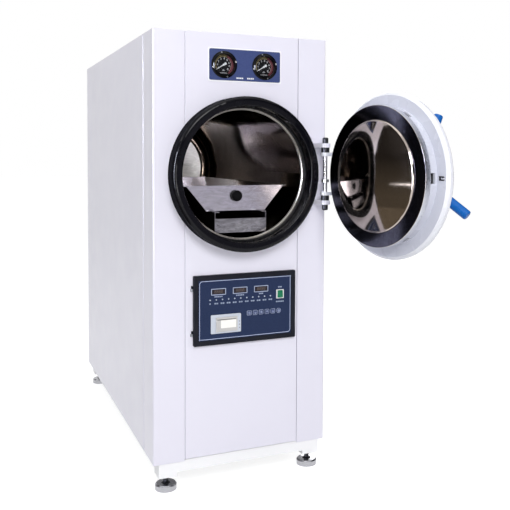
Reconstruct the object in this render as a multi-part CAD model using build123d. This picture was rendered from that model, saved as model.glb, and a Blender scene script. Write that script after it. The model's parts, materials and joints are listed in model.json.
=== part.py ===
from build123d import *
import os
from math import asin, cos, radians, sin, sqrt

os.makedirs("parts", exist_ok=True)

# Horizontal cylindrical steam sterilizer: a tall sheet-steel cabinet on levelling feet, with a round
# chamber closed by a swinging radial-bar door.  Millimetres.  X is to the right, Y to the back, Z up.
# The origin is on the floor, under the middle of the cabinet.

# Cabinet and its skins
CAB_W = 600.0            # over the side panels
CAB_D = 1290.0           # front face to rear face
AXIS_H = 923.0           # chamber axis above the skins' lower edge
OVER_AXIS = 455         # skins above the chamber axis
SKIN_H = AXIS_H + OVER_AXIS          # height of the skins
SHEET = 2.0              # skin thickness
SEAM = 1.5               # gap between neighbouring skins
CENTRE_W = 391.0         # front panel between the two seams
COLUMN_D = 125.0         # side return of each front column
HEM = 12.0               # folded edge
EDGE_FOLD = 10.0         # slanted front edge of a side panel
CORNER_R = 6.0           # vertical front corner
SILL = 4.5               # lip of the base pan under the front panel
CLEAR = 0.3              # clearance where two bodies lie side by side
RUN = 0.05               # radial clearance of pins and shafts

# Base frame, legs and feet
FRAME_INSET = 19.0
SKIRT_SET = 4.0
RAIL_H = 33.0
RAIL_W = 40.0
LEG_W = 60.0
LEG_DROP = 47.0
FOOT_R = 35.0
FOOT_H = 20.0
STEM_R = 8.0
STEM_GAP = 26.0          # bare stem between pad and leg
STEM_GRIP = 30.0         # stem inside the leg
NUT_AF = 24.0
NUT_H = 9.0
POST = 30.0              # inner frame tube

# Pressure chamber
CHAMBER_R = 213.0
CHAMBER_L = 1000.0
CHAMBER_WALL = 4.0
HEAD_DISH = 62.0         # depth of the rear head
HEAD_KNUCKLE = 40.0
LIP_IN = 3.5             # how far the mouth bead stands into the bore
LIP_FWD = 4.0
LIP_D = 10.0
FLANGE_R = 245.0
FLANGE_T = 14.0
JACKET_R = 265.0
JACKET_L = 950.0
SADDLE_T = 12.0

# Locking collar around the mouth
COLLAR_R = 251.5
COLLAR_BORE = 220.0
COLLAR_FWD = 60.0
COLLAR_NECK_R = 246.0
COLLAR_NECK = 30.0
COLLAR_ROUND = 14.0
GASKET_LIP = 215.0

# Door
HINGE_X = 279.0
HINGE_OUT = 42.5         # hinge axis in front of the front face
DOOR_OPEN = 101.5        # degrees, the stored pose
FACE_OUT = 14.0          # closed door's sealing face in front of the front face
PLATE_T = 20.0
DOME_R = 173.5
DOME_H = 30.0
KNUCKLE_H = 6.0
DRUM_R = 215.5
PLATE_OVER = 2.0         # head plate beyond the drum
PLATE_R = DRUM_R + PLATE_OVER
DRUM_WALL = 11.0
DRUM_D = 28.0
RIM_FRONT_R = 250.0
RIM_R = 259.0
RIM_T = 20.0
COVER_WALL = 6.0
POCKET_R = 238.0         # recess of the door's safety pin
POCKET_W = 13.0
POCKET_D = 9.0
COVER_BACK = 32.0        # drum to flat back of the cover
BOSS_R = 45.0
BOSS_H = 42.0
CROWN_R = 118.0
CROWN_H = 18.0
ARM_T = 12.0
ARM_Z = 60.0             # lower face of the arm plates above the axis
ARM_D = 28.0
ARM_REACH = 150.0
LUG_R = 16.0

# Lock: a cam plate with spiral slots drives six radial bars
BARS = 6
BAR_W = 28.0
BAR_T = 14.0
BAR_IN = 56.0            # inner end from the axis
BAR_THROW = 22.0
BAR_BACK_OFF = 3.0       # drawn-in tip below the drum's face
SLOT_PLAY = 1.6
WHEEL_TURN = 60.0        # degrees for the full throw
FOLLOW_R = 5.0
FOLLOW_AT = 70.0
CAM_R = 122.0
CAM_T = 9.0
GUIDE_W = 9.0
GUIDE_IN = 135.0
GUIDE_L = 44.0

# Handwheel
SPOKES = 3
SPOKE_AT = 82.0          # degrees of the first spoke
HUB_OUT = 198.0          # hub centre in front of the front face, door closed
HUB_R = 34.0
HUB_L = 44.0
SPINDLE_R = 15.0
SPOKE_R = 7.0
SPOKE_CONE = 18.0        # degrees outwards
TIP_R = 197.0
GRIP_R = 16.0
GRIP_L = 92.0

# Door hinge
PIN_R = 7.0
BUSH_R = 14.0
BRACKET_Z = 89.0
BRACKET_T = 14.0
BRACKET_LUG = 17.0
BRACKET_W = 53.0
BRACKET_H = 52.0
BASE_T = 6.0
CAP_R = 10.0
CAP_H = 20.0

# Loading tray and its support
TRAY_IN = 70.0
TRAY_L = 900.0
TRAY_TOP = -40.0         # from the chamber axis
TRAY_H = 84.0
TRAY_W = 346.0
TRAY_FLOOR_W = 208.0
TRAY_RIM = 10.0
TRAY_SHEET = 2.0
KNOB_R = 18.5
KNOB_L = 18.0
SUPPORT_W = 180.0
SUPPORT_FRONT = 40.0
SUPPORT_IN = 22.0
SUPPORT_L = 940.0

# Gauge plate
GAUGE_PLATE_W = 245.0
GAUGE_PLATE_H = 100.0
GAUGE_PLATE_X = 6.0
GAUGE_PLATE_UP = 353.5   # above the chamber axis
GAUGE_PITCH = 140.0
GAUGE_X = 3.0
PLATE_SHEET = 3.0
GAUGE_FLANGE_R = 43.5
GAUGE_CASE_R = 37.0
GAUGE_DIAL_R = 34.0
GAUGE_DEEP = 38.0
NEEDLE_L = 30.0
NEEDLE_REST = 148.0      # degrees from level, at zero

# Control panel
CTRL_W = 356.0
CTRL_H = 228.0
CTRL_X = 7.0
CTRL_DOWN = 439.0        # below the chamber axis
BEZEL_W = 16.0
BEZEL_T = 12.0
FASCIA_T = 2.5
KEY_R = 6.5
KEY_OUT = 2.5
KEY_TRAVEL = 0.8
KEYS = 6
KEY_X0 = 19.0
KEY_PITCH = 21.0
KEY_Z = -19.0            # from the panel's middle
LEDS = 11
LED_X0 = -116.0
LED_PITCH = 21.0
LED_Z = 33.0
LED_R = 2.2
WINDOW_W = 50.0
WINDOW_H = 21.0
WINDOW_Z = 59.0
WINDOWS_X = (-87.5, -13.5, 60.5)
PRINTER_W = 103.0
PRINTER_H = 61.0
PRINTER_X = -62.5
PRINTER_Z = -46.5
PRINTER_D = 58.0
FLAP_W = 73.0
FLAP_H = 46.0
FLAP_X = 2.0             # from the printer's middle
FLAP_Z = -1.0
FLAP_T = 2.5
ROLL_R = 14.0
SWITCH_W = 27.0
SWITCH_H = 30.0
SWITCH_X = 128.5
SWITCH_Z = 37.0
ROCKER_W = 18.0
ROCKER_H = 23.0
ROCKER_T = 6.0
ROCKER_TILT = 8.0
ENCLOSURE_D = 96.0
CTRL_PIN_R = 1.5
CTRL_KNUCKLE_R = 3.0
CTRL_KNUCKLE_H = 9.0

# Steam generator and pipes
BOILER_R = 118.0
BOILER_L = 560.0
BOILER_X = -140.0
BOILER_IN = 430.0
BOILER_UP = 60.0
PIPE_R = 11.0
DRAIN_X = 0.0
DRAIN_Z = 330.0
DRAIN_R = 13.2
INLET_R = 10.5
INLET_X = -190.0
INLET_Z = 220.0
NOZZLE_L = 32.0
GLAND_X = 200.0

# Places that follow from the sizes
SKIN_Z = FOOT_H + STEM_GAP + LEG_DROP
TOP = SKIN_Z + SKIN_H
AXIS = SKIN_Z + AXIS_H
FRONT = -CAB_D / 2
BACK = CAB_D / 2
HALF = CAB_W / 2
HINGE_Y = FRONT - HINGE_OUT
FACE = FRONT - FACE_OUT
BAR_FRONT = FACE - PLATE_T - 2.0
BAR_BACK = BAR_FRONT - BAR_T
COVER_FRONT = FACE - PLATE_T - DRUM_D
COVER_FLAT = COVER_FRONT - COVER_BACK
CAM_FRONT = BAR_BACK - 2.0


def block(x0, x1, y0, y1, z0, z1):
    """Box between two corners."""
    return Pos((x0 + x1) / 2, (y0 + y1) / 2, (z0 + z1) / 2) * Box(abs(x1 - x0), abs(y1 - y0), abs(z1 - z0))


def rod_x(r, x0, x1, y, z):
    return Pos((x0 + x1) / 2, y, z) * Rot(0, 90, 0) * Cylinder(r, abs(x1 - x0))


def rod_y(r, y0, y1, x=0.0, z=AXIS):
    return Pos(x, (y0 + y1) / 2, z) * Rot(90, 0, 0) * Cylinder(r, abs(y1 - y0))


def rod_z(r, z0, z1, x, y):
    return Pos(x, y, (z0 + z1) / 2) * Cylinder(r, abs(z1 - z0))


def turned(points, x=0.0, z=AXIS, rounds=()):
    """Solid turned about the Y direction through (x, z) from (radius, y) points; rounds are (index, radius)."""
    face = make_face(Polyline(*points, close=True))
    for index, radius in rounds:
        at = Vector(*points[index])
        corner = face.vertices().sort_by_distance(at)[0]
        face = fillet([corner], radius)
    return Pos(x, 0, z) * revolve(face, Axis.Y, 360)


def prism(points, z0, z1):
    """Upright prism on a plan given as (x, y) points."""
    return Pos(0, 0, z0) * extrude(make_face(Polyline(*points, close=True)), z1 - z0)


def cross_prism(points, y0, y1):
    """Prism along Y on a section given as (x, z) points."""
    face = make_face(Polyline(*[(x, 0, z) for x, z in points], close=True))
    return Pos(0, y0, 0) * extrude(face, y1 - y0, dir=(0, 1, 0))


def panel(w, h, y0, y1, x, z, r=0.0):
    """Upright plate w by h between y0 and y1, with corner radius r."""
    shape = RectangleRounded(w, h, r) if r else Rectangle(w, h)
    return Pos(x, y1, z) * Rot(90, 0, 0) * extrude(shape, y1 - y0)


def dish(r, y, depth):
    """Arc from the axis to the rim of a dished head, centred on the axis."""
    crown = (r ** 2 + depth ** 2) / (2 * depth)
    mid = asin(r / crown) / 2
    return ThreePointArc((0, y + depth), (crown * sin(mid), y + depth - crown * (1 - cos(mid))), (r, y))


def head(r, y, depth, knuckle):
    """Crown and knuckle of a dished head, from the axis to the rim."""
    return [dish(r - knuckle, y + knuckle, depth - knuckle),
            ThreePointArc((r - knuckle, y + knuckle), (r - 0.2929 * knuckle, y + 0.7071 * knuckle), (r, y))]


def about_axis(shape, angle):
    """Turned about the chamber axis; 0 is towards the far side of the door from its hinge."""
    return Pos(0, 0, AXIS) * Rot(0, angle, 0) * Pos(0, 0, -AXIS) * shape


def swing(shape):
    """From the closed door's place to the stored open pose."""
    return Pos(HINGE_X, HINGE_Y, 0) * Rot(0, 0, DOOR_OPEN) * Pos(-HINGE_X, -HINGE_Y, 0) * shape


def pipe(points, bend, r):
    """Tube with tangent bends along the points."""
    path = FilletPolyline(*points, radius=bend)
    return sweep(Plane(origin=path @ 0, z_dir=path % 0) * Circle(r), path)


def save(name, *shapes):
    solids = [s for shape in shapes for s in shape.solids()]
    whole = solids[0] if len(solids) == 1 else Compound(children=solids)
    whole.label = name
    export_step(whole, f"parts/{name}.step")


# Base frame: welded rails, four legs and the pan that the skins stand around.
inset = HALF - FRAME_INSET
y_low, y_high = FRONT + SKIRT_SET, BACK - SKIRT_SET
base = block(-inset, inset, y_low, y_high, SKIN_Z - RAIL_H, SKIN_Z)
base -= block(-inset + RAIL_W, inset - RAIL_W, y_low + RAIL_W, y_high - RAIL_W, SKIN_Z - RAIL_H, SKIN_Z)
foot_x = inset - LEG_W / 2
foot_ys = (y_low + LEG_W / 2, y_high - LEG_W / 2)
feet = []
foot_profile = [(0, 0), (FOOT_R, 0), (FOOT_R, FOOT_H - 4), (FOOT_R - 4, FOOT_H),
                (STEM_R + 7, FOOT_H), (STEM_R, FOOT_H + 5),
                (STEM_R, FOOT_H + STEM_GAP + STEM_GRIP), (0, FOOT_H + STEM_GAP + STEM_GRIP)]
for x in (-foot_x, foot_x):
    for y in foot_ys:
        base += block(x - LEG_W / 2, x + LEG_W / 2, y - LEG_W / 2, y + LEG_W / 2, SKIN_Z - LEG_DROP, SKIN_Z)
for x in (-foot_x, foot_x):
    for y in foot_ys:
        base -= rod_z(STEM_R + RUN, SKIN_Z - LEG_DROP, SKIN_Z - LEG_DROP + STEM_GRIP + 2, x, y)
        stem = revolve(make_face(Polyline(*[(r, 0, z) for r, z in foot_profile], close=True)), Axis.Z, 360)
        nut_z = SKIN_Z - LEG_DROP - NUT_H
        nut = Pos(0, 0, nut_z) * extrude(RegularPolygon(NUT_AF / 2, 6, major_radius=False), NUT_H)
        feet.append(Pos(x, y, 0) * (stem + nut))
pan = block(-HALF + SHEET, HALF - SHEET, FRONT + SHEET, BACK - SHEET, SKIN_Z, SKIN_Z + SHEET)
base += pan
base += block(-CENTRE_W / 2, CENTRE_W / 2, FRONT, FRONT + SHEET, SKIN_Z, SKIN_Z + SILL)
save("base_frame", base)
save("levelling_feet", *feet)

# Inner frame: posts, rails and the two saddles that carry the chamber.
post_in = HALF - SHEET - POST
rail_in = HALF - SHEET - HEM - 2 - POST
z_low, z_high = SKIN_Z + SHEET, TOP - SHEET
rail_z = AXIS - JACKET_R - 34
front_post, rear_post = FRONT + SHEET, BACK - SHEET - POST
frame = None
for sx in (-1, 1):
    for y in (front_post, rear_post):
        post = block(sx * post_in, sx * (post_in + POST), y, y + POST, z_low, z_high)
        frame = post if frame is None else frame + post
    for z in (z_high - POST, rail_z - POST):
        frame += block(sx * rail_in, sx * (rail_in + POST), front_post + HEM + 2, rear_post + POST / 2, z, z + POST)
for y in (front_post + HEM + 2, rear_post - HEM - 2):
    frame += block(-post_in - 1, post_in + 1, y, y + POST, z_high - POST, z_high)
saddle_ys = (FRONT + 0.22 * CHAMBER_L, FRONT + 0.78 * CHAMBER_L)
for y in saddle_ys:
    frame += block(-rail_in - 1, rail_in + 1, y - POST / 2, y + POST / 2, rail_z - POST, rail_z)
    saddle = block(-0.8 * JACKET_R, 0.8 * JACKET_R, y - SADDLE_T / 2, y + SADDLE_T / 2,
                   rail_z, AXIS - 0.45 * JACKET_R)
    frame += saddle - rod_y(JACKET_R + CLEAR, y - SADDLE_T, y + SADDLE_T)
save("cabinet_frame", frame)

# Skins.
control_z = AXIS - CTRL_DOWN
gauge_z = AXIS + GAUGE_PLATE_UP
gauge_xs = (GAUGE_X - GAUGE_PITCH / 2, GAUGE_X + GAUGE_PITCH / 2)
hole_w, hole_h = CTRL_W - 2 * BEZEL_W + 8, CTRL_H - 2 * BEZEL_W + 8
front_z = SKIN_Z + SILL + SEAM
front = block(-CENTRE_W / 2, CENTRE_W / 2, FRONT, FRONT + SHEET, front_z, z_high)
for sx in (-1, 1):
    front += block(sx * CENTRE_W / 2, sx * (CENTRE_W / 2 - SHEET), FRONT, FRONT + HEM, front_z, z_high)
bends = [e for e in front.edges().filter_by(Axis.Z) if abs(e.center().Y - FRONT) < 0.01]
front = fillet(bends, 1.5)
front -= rod_y(COLLAR_NECK_R + CLEAR, FRONT - 5, FRONT + HEM + 5)
front -= panel(hole_w, hole_h, FRONT - 5, FRONT + 5, CTRL_X, control_z)
for x in gauge_xs:
    front -= rod_y(GAUGE_CASE_R + CLEAR, FRONT - 5, FRONT + 5, x, gauge_z)
save("front_panel", front)

seam_x = CENTRE_W / 2 + SEAM
column = block(seam_x, HALF, FRONT, FRONT + COLUMN_D, SKIN_Z, z_high)
column -= block(seam_x + SHEET, HALF - SHEET, FRONT + SHEET, FRONT + COLUMN_D - SHEET, SKIN_Z, z_high)
column -= block(seam_x, seam_x + SHEET, FRONT + HEM, FRONT + COLUMN_D, SKIN_Z, z_high)
column -= block(seam_x, HALF - HEM, FRONT + COLUMN_D - SHEET, FRONT + COLUMN_D, SKIN_Z, z_high)
outer = [e for e in column.edges().filter_by(Axis.Z)
         if abs(e.center().X - HALF) < 0.01 and abs(e.center().Y - FRONT) < 0.01]
column = fillet(outer, CORNER_R) - pan
column -= rod_y(COLLAR_NECK_R + CLEAR, FRONT - 5, FRONT + HEM + 5)
save("column_right", column)
save("column_left", mirror(column, about=Plane.YZ))

side_front = FRONT + COLUMN_D + SEAM
side = block(HALF - SHEET, HALF, side_front, BACK, SKIN_Z, z_high)
side += block(HALF - HEM - 3, HALF, side_front, side_front + SHEET, SKIN_Z, z_high)
inner = [e for e in side.edges().filter_by(Axis.Z)
         if abs(e.center().X - HALF + SHEET) < 0.01 and abs(e.center().Y - side_front - SHEET) < 0.01]
side = chamfer(inner, EDGE_FOLD - SHEET * (2 - sqrt(2)))
outer = [e for e in side.edges().filter_by(Axis.Z)
         if abs(e.center().X - HALF) < 0.01 and abs(e.center().Y - side_front) < 0.01]
side = chamfer(outer, EDGE_FOLD) - pan
save("side_panel_right", side)
save("side_panel_left", mirror(side, about=Plane.YZ))

top = block(-HALF, HALF, FRONT, BACK, z_high, TOP)
top = fillet(top.edges().group_by(Axis.Z)[-1], 1.2)
save("top_cover", top)

rear = block(-HALF + SHEET, HALF - SHEET, BACK - SHEET, BACK, SKIN_Z + SHEET, z_high)
slot_w, slot_h, slot_step = 150.0, 8.0, 24.0
for x in (-110, 110):
    for row in range(7):
        for z in (z_high - 120, AXIS - 0.55 * AXIS_H):
            rear -= panel(slot_w, slot_h, BACK - 5, BACK + 5, x, z - row * slot_step)
ports = ((DRAIN_X, DRAIN_Z, DRAIN_R), (INLET_X, INLET_Z, INLET_R), (GLAND_X, INLET_Z, DRAIN_R))
for x, z, r in ports:
    rear -= rod_y(r + RUN, BACK - 5, BACK + 5, x, z)
save("rear_panel", rear)

# Chamber: bore, mouth bead, front flange and dished rear head.
bore_end = FRONT + CHAMBER_L
wall_r = CHAMBER_R + CHAMBER_WALL
flange_y = FRONT + COLLAR_NECK
inside = [*head(CHAMBER_R, bore_end, HEAD_DISH, HEAD_KNUCKLE),
          Polyline((CHAMBER_R, bore_end), (CHAMBER_R, FRONT + LIP_D), (CHAMBER_R - LIP_IN, FRONT + LIP_D - 3),
                   (CHAMBER_R - LIP_IN, FRONT - LIP_FWD + 2), (CHAMBER_R - LIP_IN + 2, FRONT - LIP_FWD),
                   (wall_r - 2, FRONT - LIP_FWD), (wall_r, FRONT - LIP_FWD + 2), (wall_r, flange_y),
                   (FLANGE_R, flange_y), (FLANGE_R, flange_y + FLANGE_T), (wall_r, flange_y + FLANGE_T),
                   (wall_r, bore_end))]
outside = head(wall_r, bore_end, HEAD_DISH + CHAMBER_WALL, HEAD_KNUCKLE + CHAMBER_WALL)
closing = Line((0, bore_end + HEAD_DISH + CHAMBER_WALL), (0, bore_end + HEAD_DISH))
chamber = Pos(0, 0, AXIS) * revolve(make_face([*inside, *outside, closing]), Axis.Y, 360)
save("chamber", chamber)

jacket_y = flange_y + FLANGE_T + CLEAR
jacket_in = wall_r + CLEAR
jacket = turned([(jacket_in, jacket_y), (JACKET_R - 12, jacket_y), (JACKET_R, jacket_y + 12),
                 (JACKET_R, jacket_y + JACKET_L - 12), (JACKET_R - 12, jacket_y + JACKET_L),
                 (jacket_in, jacket_y + JACKET_L)])
save("jacket", jacket)

# Locking collar with a socket for every bar, and the gasket at its foot.
collar = turned([(COLLAR_BORE, flange_y), (COLLAR_NECK_R, flange_y), (COLLAR_NECK_R, FRONT), (COLLAR_R, FRONT),
                 (COLLAR_R, FRONT - COLLAR_FWD), (COLLAR_BORE, FRONT - COLLAR_FWD)],
                rounds=((4, COLLAR_ROUND), (5, 4.0)))
socket_r = DRUM_R + BAR_THROW + 3
socket = block(-socket_r, -COLLAR_BORE + 6, BAR_BACK - 1.5, BAR_FRONT + 1.5,
               AXIS - BAR_W / 2 - 1.5, AXIS + BAR_W / 2 + 1.5)
for n in range(BARS):
    collar -= about_axis(socket, n * 360 / BARS)
save("locking_collar", collar)

gasket = turned([(COLLAR_BORE - CLEAR, FRONT + 4), (wall_r + CLEAR, FRONT + 4),
                 (wall_r + CLEAR, FRONT - LIP_FWD - CLEAR), (GASKET_LIP, FRONT - LIP_FWD - CLEAR),
                 (GASKET_LIP, FACE + 2), (GASKET_LIP + 1.5, FACE + CLEAR), (COLLAR_BORE - CLEAR, FACE + CLEAR)])
save("door_gasket", gasket)

# Tray support and the sliding tray.
tray_z = AXIS + TRAY_TOP
floor_z = tray_z - TRAY_H
tray_y = FRONT + TRAY_IN
cheek_z = AXIS - sqrt((CHAMBER_R - CLEAR) ** 2 - (SUPPORT_W / 2) ** 2)
support_y = FRONT + SUPPORT_IN
rail_len = SUPPORT_L
front_low = cheek_z + 6
support = block(-SUPPORT_W / 2, SUPPORT_W / 2, support_y, support_y + TRAY_SHEET, cheek_z, front_low + SUPPORT_FRONT)
support += block(-SUPPORT_W / 2, SUPPORT_W / 2, support_y, support_y + rail_len, front_low, front_low + TRAY_SHEET)
for sx in (-1, 1):
    support += block(sx * SUPPORT_W / 2, sx * (SUPPORT_W / 2 - TRAY_SHEET), support_y, support_y + rail_len,
                     cheek_z, floor_z - CLEAR)
    support += block(sx * SUPPORT_W / 2, sx * (SUPPORT_W / 2 - 16), support_y, support_y + rail_len,
                     floor_z - CLEAR - TRAY_SHEET, floor_z - CLEAR)
save("tray_support", support)

half_top, half_floor = TRAY_W / 2, TRAY_FLOOR_W / 2
lean = (half_top - half_floor) / TRAY_H
skin_x = TRAY_SHEET * sqrt(1 + lean ** 2)
tray = cross_prism([(-half_floor, floor_z), (half_floor, floor_z), (half_top, tray_z), (-half_top, tray_z)],
                   tray_y, tray_y + TRAY_L)
hollow_floor = half_floor + lean * TRAY_SHEET - skin_x
tray -= cross_prism([(-hollow_floor, floor_z + TRAY_SHEET), (hollow_floor, floor_z + TRAY_SHEET),
                     (half_top - skin_x, tray_z), (-half_top + skin_x, tray_z)],
                    tray_y + TRAY_SHEET, tray_y + TRAY_L - TRAY_SHEET)
for sx in (-1, 1):
    tray += block(sx * (half_top - skin_x), sx * (half_top + TRAY_RIM), tray_y, tray_y + TRAY_L,
                  tray_z - TRAY_SHEET, tray_z)
save("loading_tray", tray)

knob_z = AXIS + TRAY_TOP - 0.41 * TRAY_H
knob = turned([(0, tray_y), (7, tray_y), (7, tray_y - 4), (KNOB_R - 3, tray_y - 6), (KNOB_R, tray_y - 9),
               (KNOB_R, tray_y - KNOB_L + 5), (KNOB_R - 6, tray_y - KNOB_L), (0, tray_y - KNOB_L)],
              x=0, z=knob_z, rounds=((5, 4.0),))
save("tray_knob", knob)

# Door, made closed and then swung to the stored pose.
dome = Pos(0, 0, AXIS) * revolve(make_face([
    Line((0, FACE), (0, FACE + DOME_H)),
    dish(DOME_R - KNUCKLE_H, FACE + KNUCKLE_H, DOME_H - KNUCKLE_H),
    ThreePointArc((DOME_R - KNUCKLE_H, FACE + KNUCKLE_H), (DOME_R - 0.22 * KNUCKLE_H, FACE + 0.62 * KNUCKLE_H),
                  (DOME_R, FACE)),
    Line((DOME_R, FACE), (0, FACE))]), Axis.Y, 360)
plate = turned([(0, FACE), (PLATE_R, FACE), (PLATE_R, FACE - PLATE_T), (0, FACE - PLATE_T)], rounds=((1, 1.5),))
plate -= rod_y(SPINDLE_R + RUN, FACE - PLATE_T, FACE - PLATE_T + 8)
save("door_head", swing(plate + dome))

drum = turned([(DRUM_R - DRUM_WALL, FACE - PLATE_T), (DRUM_R, FACE - PLATE_T), (DRUM_R, COVER_FRONT),
               (DRUM_R - DRUM_WALL, COVER_FRONT)])
bar_z0, bar_z1 = AXIS - BAR_W / 2, AXIS + BAR_W / 2
slot = block(-DRUM_R - 5, -DRUM_R + DRUM_WALL + 5, BAR_BACK - SLOT_PLAY, BAR_FRONT + SLOT_PLAY,
             bar_z0 - SLOT_PLAY, bar_z1 + SLOT_PLAY)
for n in range(BARS):
    drum -= about_axis(slot, n * 360 / BARS)
save("door_drum", swing(drum))

cover_in = COVER_FRONT - COVER_BACK + COVER_WALL
crown_y = COVER_FLAT - CROWN_H
cover = turned([(DRUM_R - DRUM_WALL, COVER_FRONT), (RIM_FRONT_R, COVER_FRONT),
                (RIM_R, COVER_FRONT - RIM_R + RIM_FRONT_R), (RIM_R, COVER_FRONT - RIM_T),
                (RIM_R - 10, COVER_FLAT), (CROWN_R, COVER_FLAT), (CROWN_R - 22, crown_y), (BOSS_R, crown_y),
                (BOSS_R - 3, COVER_FLAT - BOSS_H), (SPINDLE_R + RUN, COVER_FLAT - BOSS_H),
                (SPINDLE_R + RUN, crown_y + COVER_WALL), (CROWN_R - 26, crown_y + COVER_WALL),
                (CROWN_R - 8, cover_in), (DRUM_R - DRUM_WALL, cover_in)],
               rounds=((2, 4.0), (3, 6.0), (4, 6.0), (5, 8.0), (6, 10.0)))
pocket = block(-POCKET_R, -DRUM_R - 6, COVER_FRONT - POCKET_D, COVER_FRONT + 1, AXIS - POCKET_W / 2, AXIS + POCKET_W / 2)
cover -= pocket + rod_y(POCKET_W / 2, COVER_FRONT - POCKET_D, COVER_FRONT + 1, -POCKET_R, AXIS)
save("door_cover", swing(cover))

arm_back = COVER_FLAT - ARM_D
arm = block(ARM_REACH - 20, ARM_REACH + 62, COVER_FLAT - 8, COVER_FLAT, AXIS - ARM_Z - ARM_T, AXIS + ARM_Z + ARM_T)
for sz in (-1, 1):
    za, zb = AXIS + sz * ARM_Z, AXIS + sz * (ARM_Z + ARM_T)
    z0, z1 = min(za, zb), max(za, zb)
    leg = prism([(HINGE_X - LUG_R, HINGE_Y), (HINGE_X - LUG_R, COVER_FLAT), (ARM_REACH - 20, COVER_FLAT),
                 (ARM_REACH - 20, arm_back + 12), (ARM_REACH - 8, arm_back), (HINGE_X + LUG_R - 14, arm_back),
                 (HINGE_X + LUG_R, arm_back + 14), (HINGE_X + LUG_R, HINGE_Y)], z0, z1)
    arm += leg + rod_z(LUG_R, z0, z1, HINGE_X, HINGE_Y)
arm -= rod_z(PIN_R + RUN, AXIS - 2 * ARM_Z, AXIS + 2 * ARM_Z, HINGE_X, HINGE_Y)
save("door_arm", swing(arm))

# Bars with follower pins, their guides and the cam plate.
cam_back = CAM_FRONT - CAM_T
bar = block(-DRUM_R + BAR_BACK_OFF, -BAR_IN, BAR_BACK, BAR_FRONT, bar_z0, bar_z1)
bar += rod_y(FOLLOW_R, cam_back + 1, BAR_BACK, -FOLLOW_AT, AXIS)
bar = chamfer(bar.faces().sort_by(Axis.X)[0].edges(), 3.0)
for n in range(BARS):
    save(f"lock_bar_{n + 1}", swing(about_axis(bar, n * 360 / BARS)))

guides = []
guide_x = (-GUIDE_IN - GUIDE_L, -GUIDE_IN)
guide = block(*guide_x, BAR_BACK - CLEAR - 4, FACE - PLATE_T, bar_z0 - CLEAR - GUIDE_W, bar_z1 + CLEAR + GUIDE_W)
guide -= block(guide_x[0] - 1, guide_x[1] + 1, BAR_BACK - CLEAR, FACE - PLATE_T, bar_z0 - CLEAR, bar_z1 + CLEAR)
for n in range(BARS):
    guides.append(swing(about_axis(guide, n * 360 / BARS)))
save("bar_guides", *guides)

cam = rod_y(CAM_R, cam_back, CAM_FRONT)
steps = 8
for n in range(BARS):
    start = radians(180 - n * 360 / BARS)
    centre, left, right = [], [], []
    for k in range(-1, steps + 2):
        share = k / steps
        turn = start + radians(WHEEL_TURN) * share
        r = FOLLOW_AT + BAR_THROW * share
        centre.append((r * cos(turn), r * sin(turn)))
    path = Spline(*centre)
    for k in range(41):
        u = k / 40
        at, along = path @ u, path % u
        side_way = Vector(-along.Y, along.X)
        left.append(at + side_way * (FOLLOW_R + 0.15))
        right.append(at - side_way * (FOLLOW_R + 0.15))
    track = make_face([Spline(*left), Line(left[-1], right[-1]), Spline(*reversed(right)), Line(right[0], left[0])])
    cam -= Pos(0, CAM_FRONT + 1, AXIS) * Rot(90, 0, 0) * extrude(track, CAM_T + 2)
save("cam_plate", swing(cam - rod_y(SPINDLE_R, cam_back - 1, CAM_FRONT + 1)))

# Handwheel: spindle, hub, coned spokes and grips.
hub_y = FRONT - HUB_OUT
hub = turned([(0, FACE - PLATE_T + 7), (SPINDLE_R, FACE - PLATE_T + 7), (SPINDLE_R, hub_y + HUB_L / 2),
              (HUB_R - 4, hub_y + HUB_L / 2), (HUB_R, hub_y + HUB_L / 2 - 4), (HUB_R, hub_y - HUB_L / 2 + 10),
              (HUB_R - 12, hub_y - HUB_L / 2), (0, hub_y - HUB_L / 2)], rounds=((5, 6.0), (6, 6.0)))
grips = []
slope = radians(SPOKE_CONE)
length = TIP_R / cos(slope)
for n in range(SPOKES):
    angle = SPOKE_AT + n * 360 / SPOKES
    lay = Pos(0, hub_y, AXIS) * Rot(0, angle, 0) * Rot(0, 0, SPOKE_CONE) * Rot(0, -90, 0)
    hub += lay * (Pos(0, 0, (length - 8) / 2) * Cylinder(SPOKE_R, length - 8))
    grip = Pos(0, 0, length - GRIP_L / 2) * Cylinder(GRIP_R, GRIP_L)
    grip = fillet(grip.edges().filter_by(GeomType.CIRCLE), 6.0)
    grips.append(swing(lay * (grip - Pos(0, 0, (length - 8) / 2) * Cylinder(SPOKE_R, length - 8))))
save("handwheel_hub", swing(hub))
save("handwheel_grips", *grips)

# Hinge of the door.
brackets = []
for sz in (-1, 1):
    za, zb = AXIS + sz * BRACKET_Z, AXIS + sz * (BRACKET_Z + BRACKET_T)
    z0, z1 = min(za, zb), max(za, zb)
    base_x0 = HALF - 2 - BRACKET_W
    zmid = (z0 + z1) / 2
    seat = block(base_x0, base_x0 + BRACKET_W, FRONT - BASE_T, FRONT, zmid - BRACKET_H / 2, zmid + BRACKET_H / 2)
    ear = prism([(base_x0, FRONT), (HINGE_X - BRACKET_LUG, HINGE_Y), (HINGE_X + BRACKET_LUG, HINGE_Y),
                 (base_x0 + BRACKET_W, FRONT)], z0, z1)
    ear += rod_z(BRACKET_LUG, z0, z1, HINGE_X, HINGE_Y)
    bracket = seat + ear
    bracket -= rod_z(PIN_R + RUN, z0 - 1, z1 + 1, HINGE_X, HINGE_Y)
    brackets.append(bracket)
save("hinge_brackets", *brackets)

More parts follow.
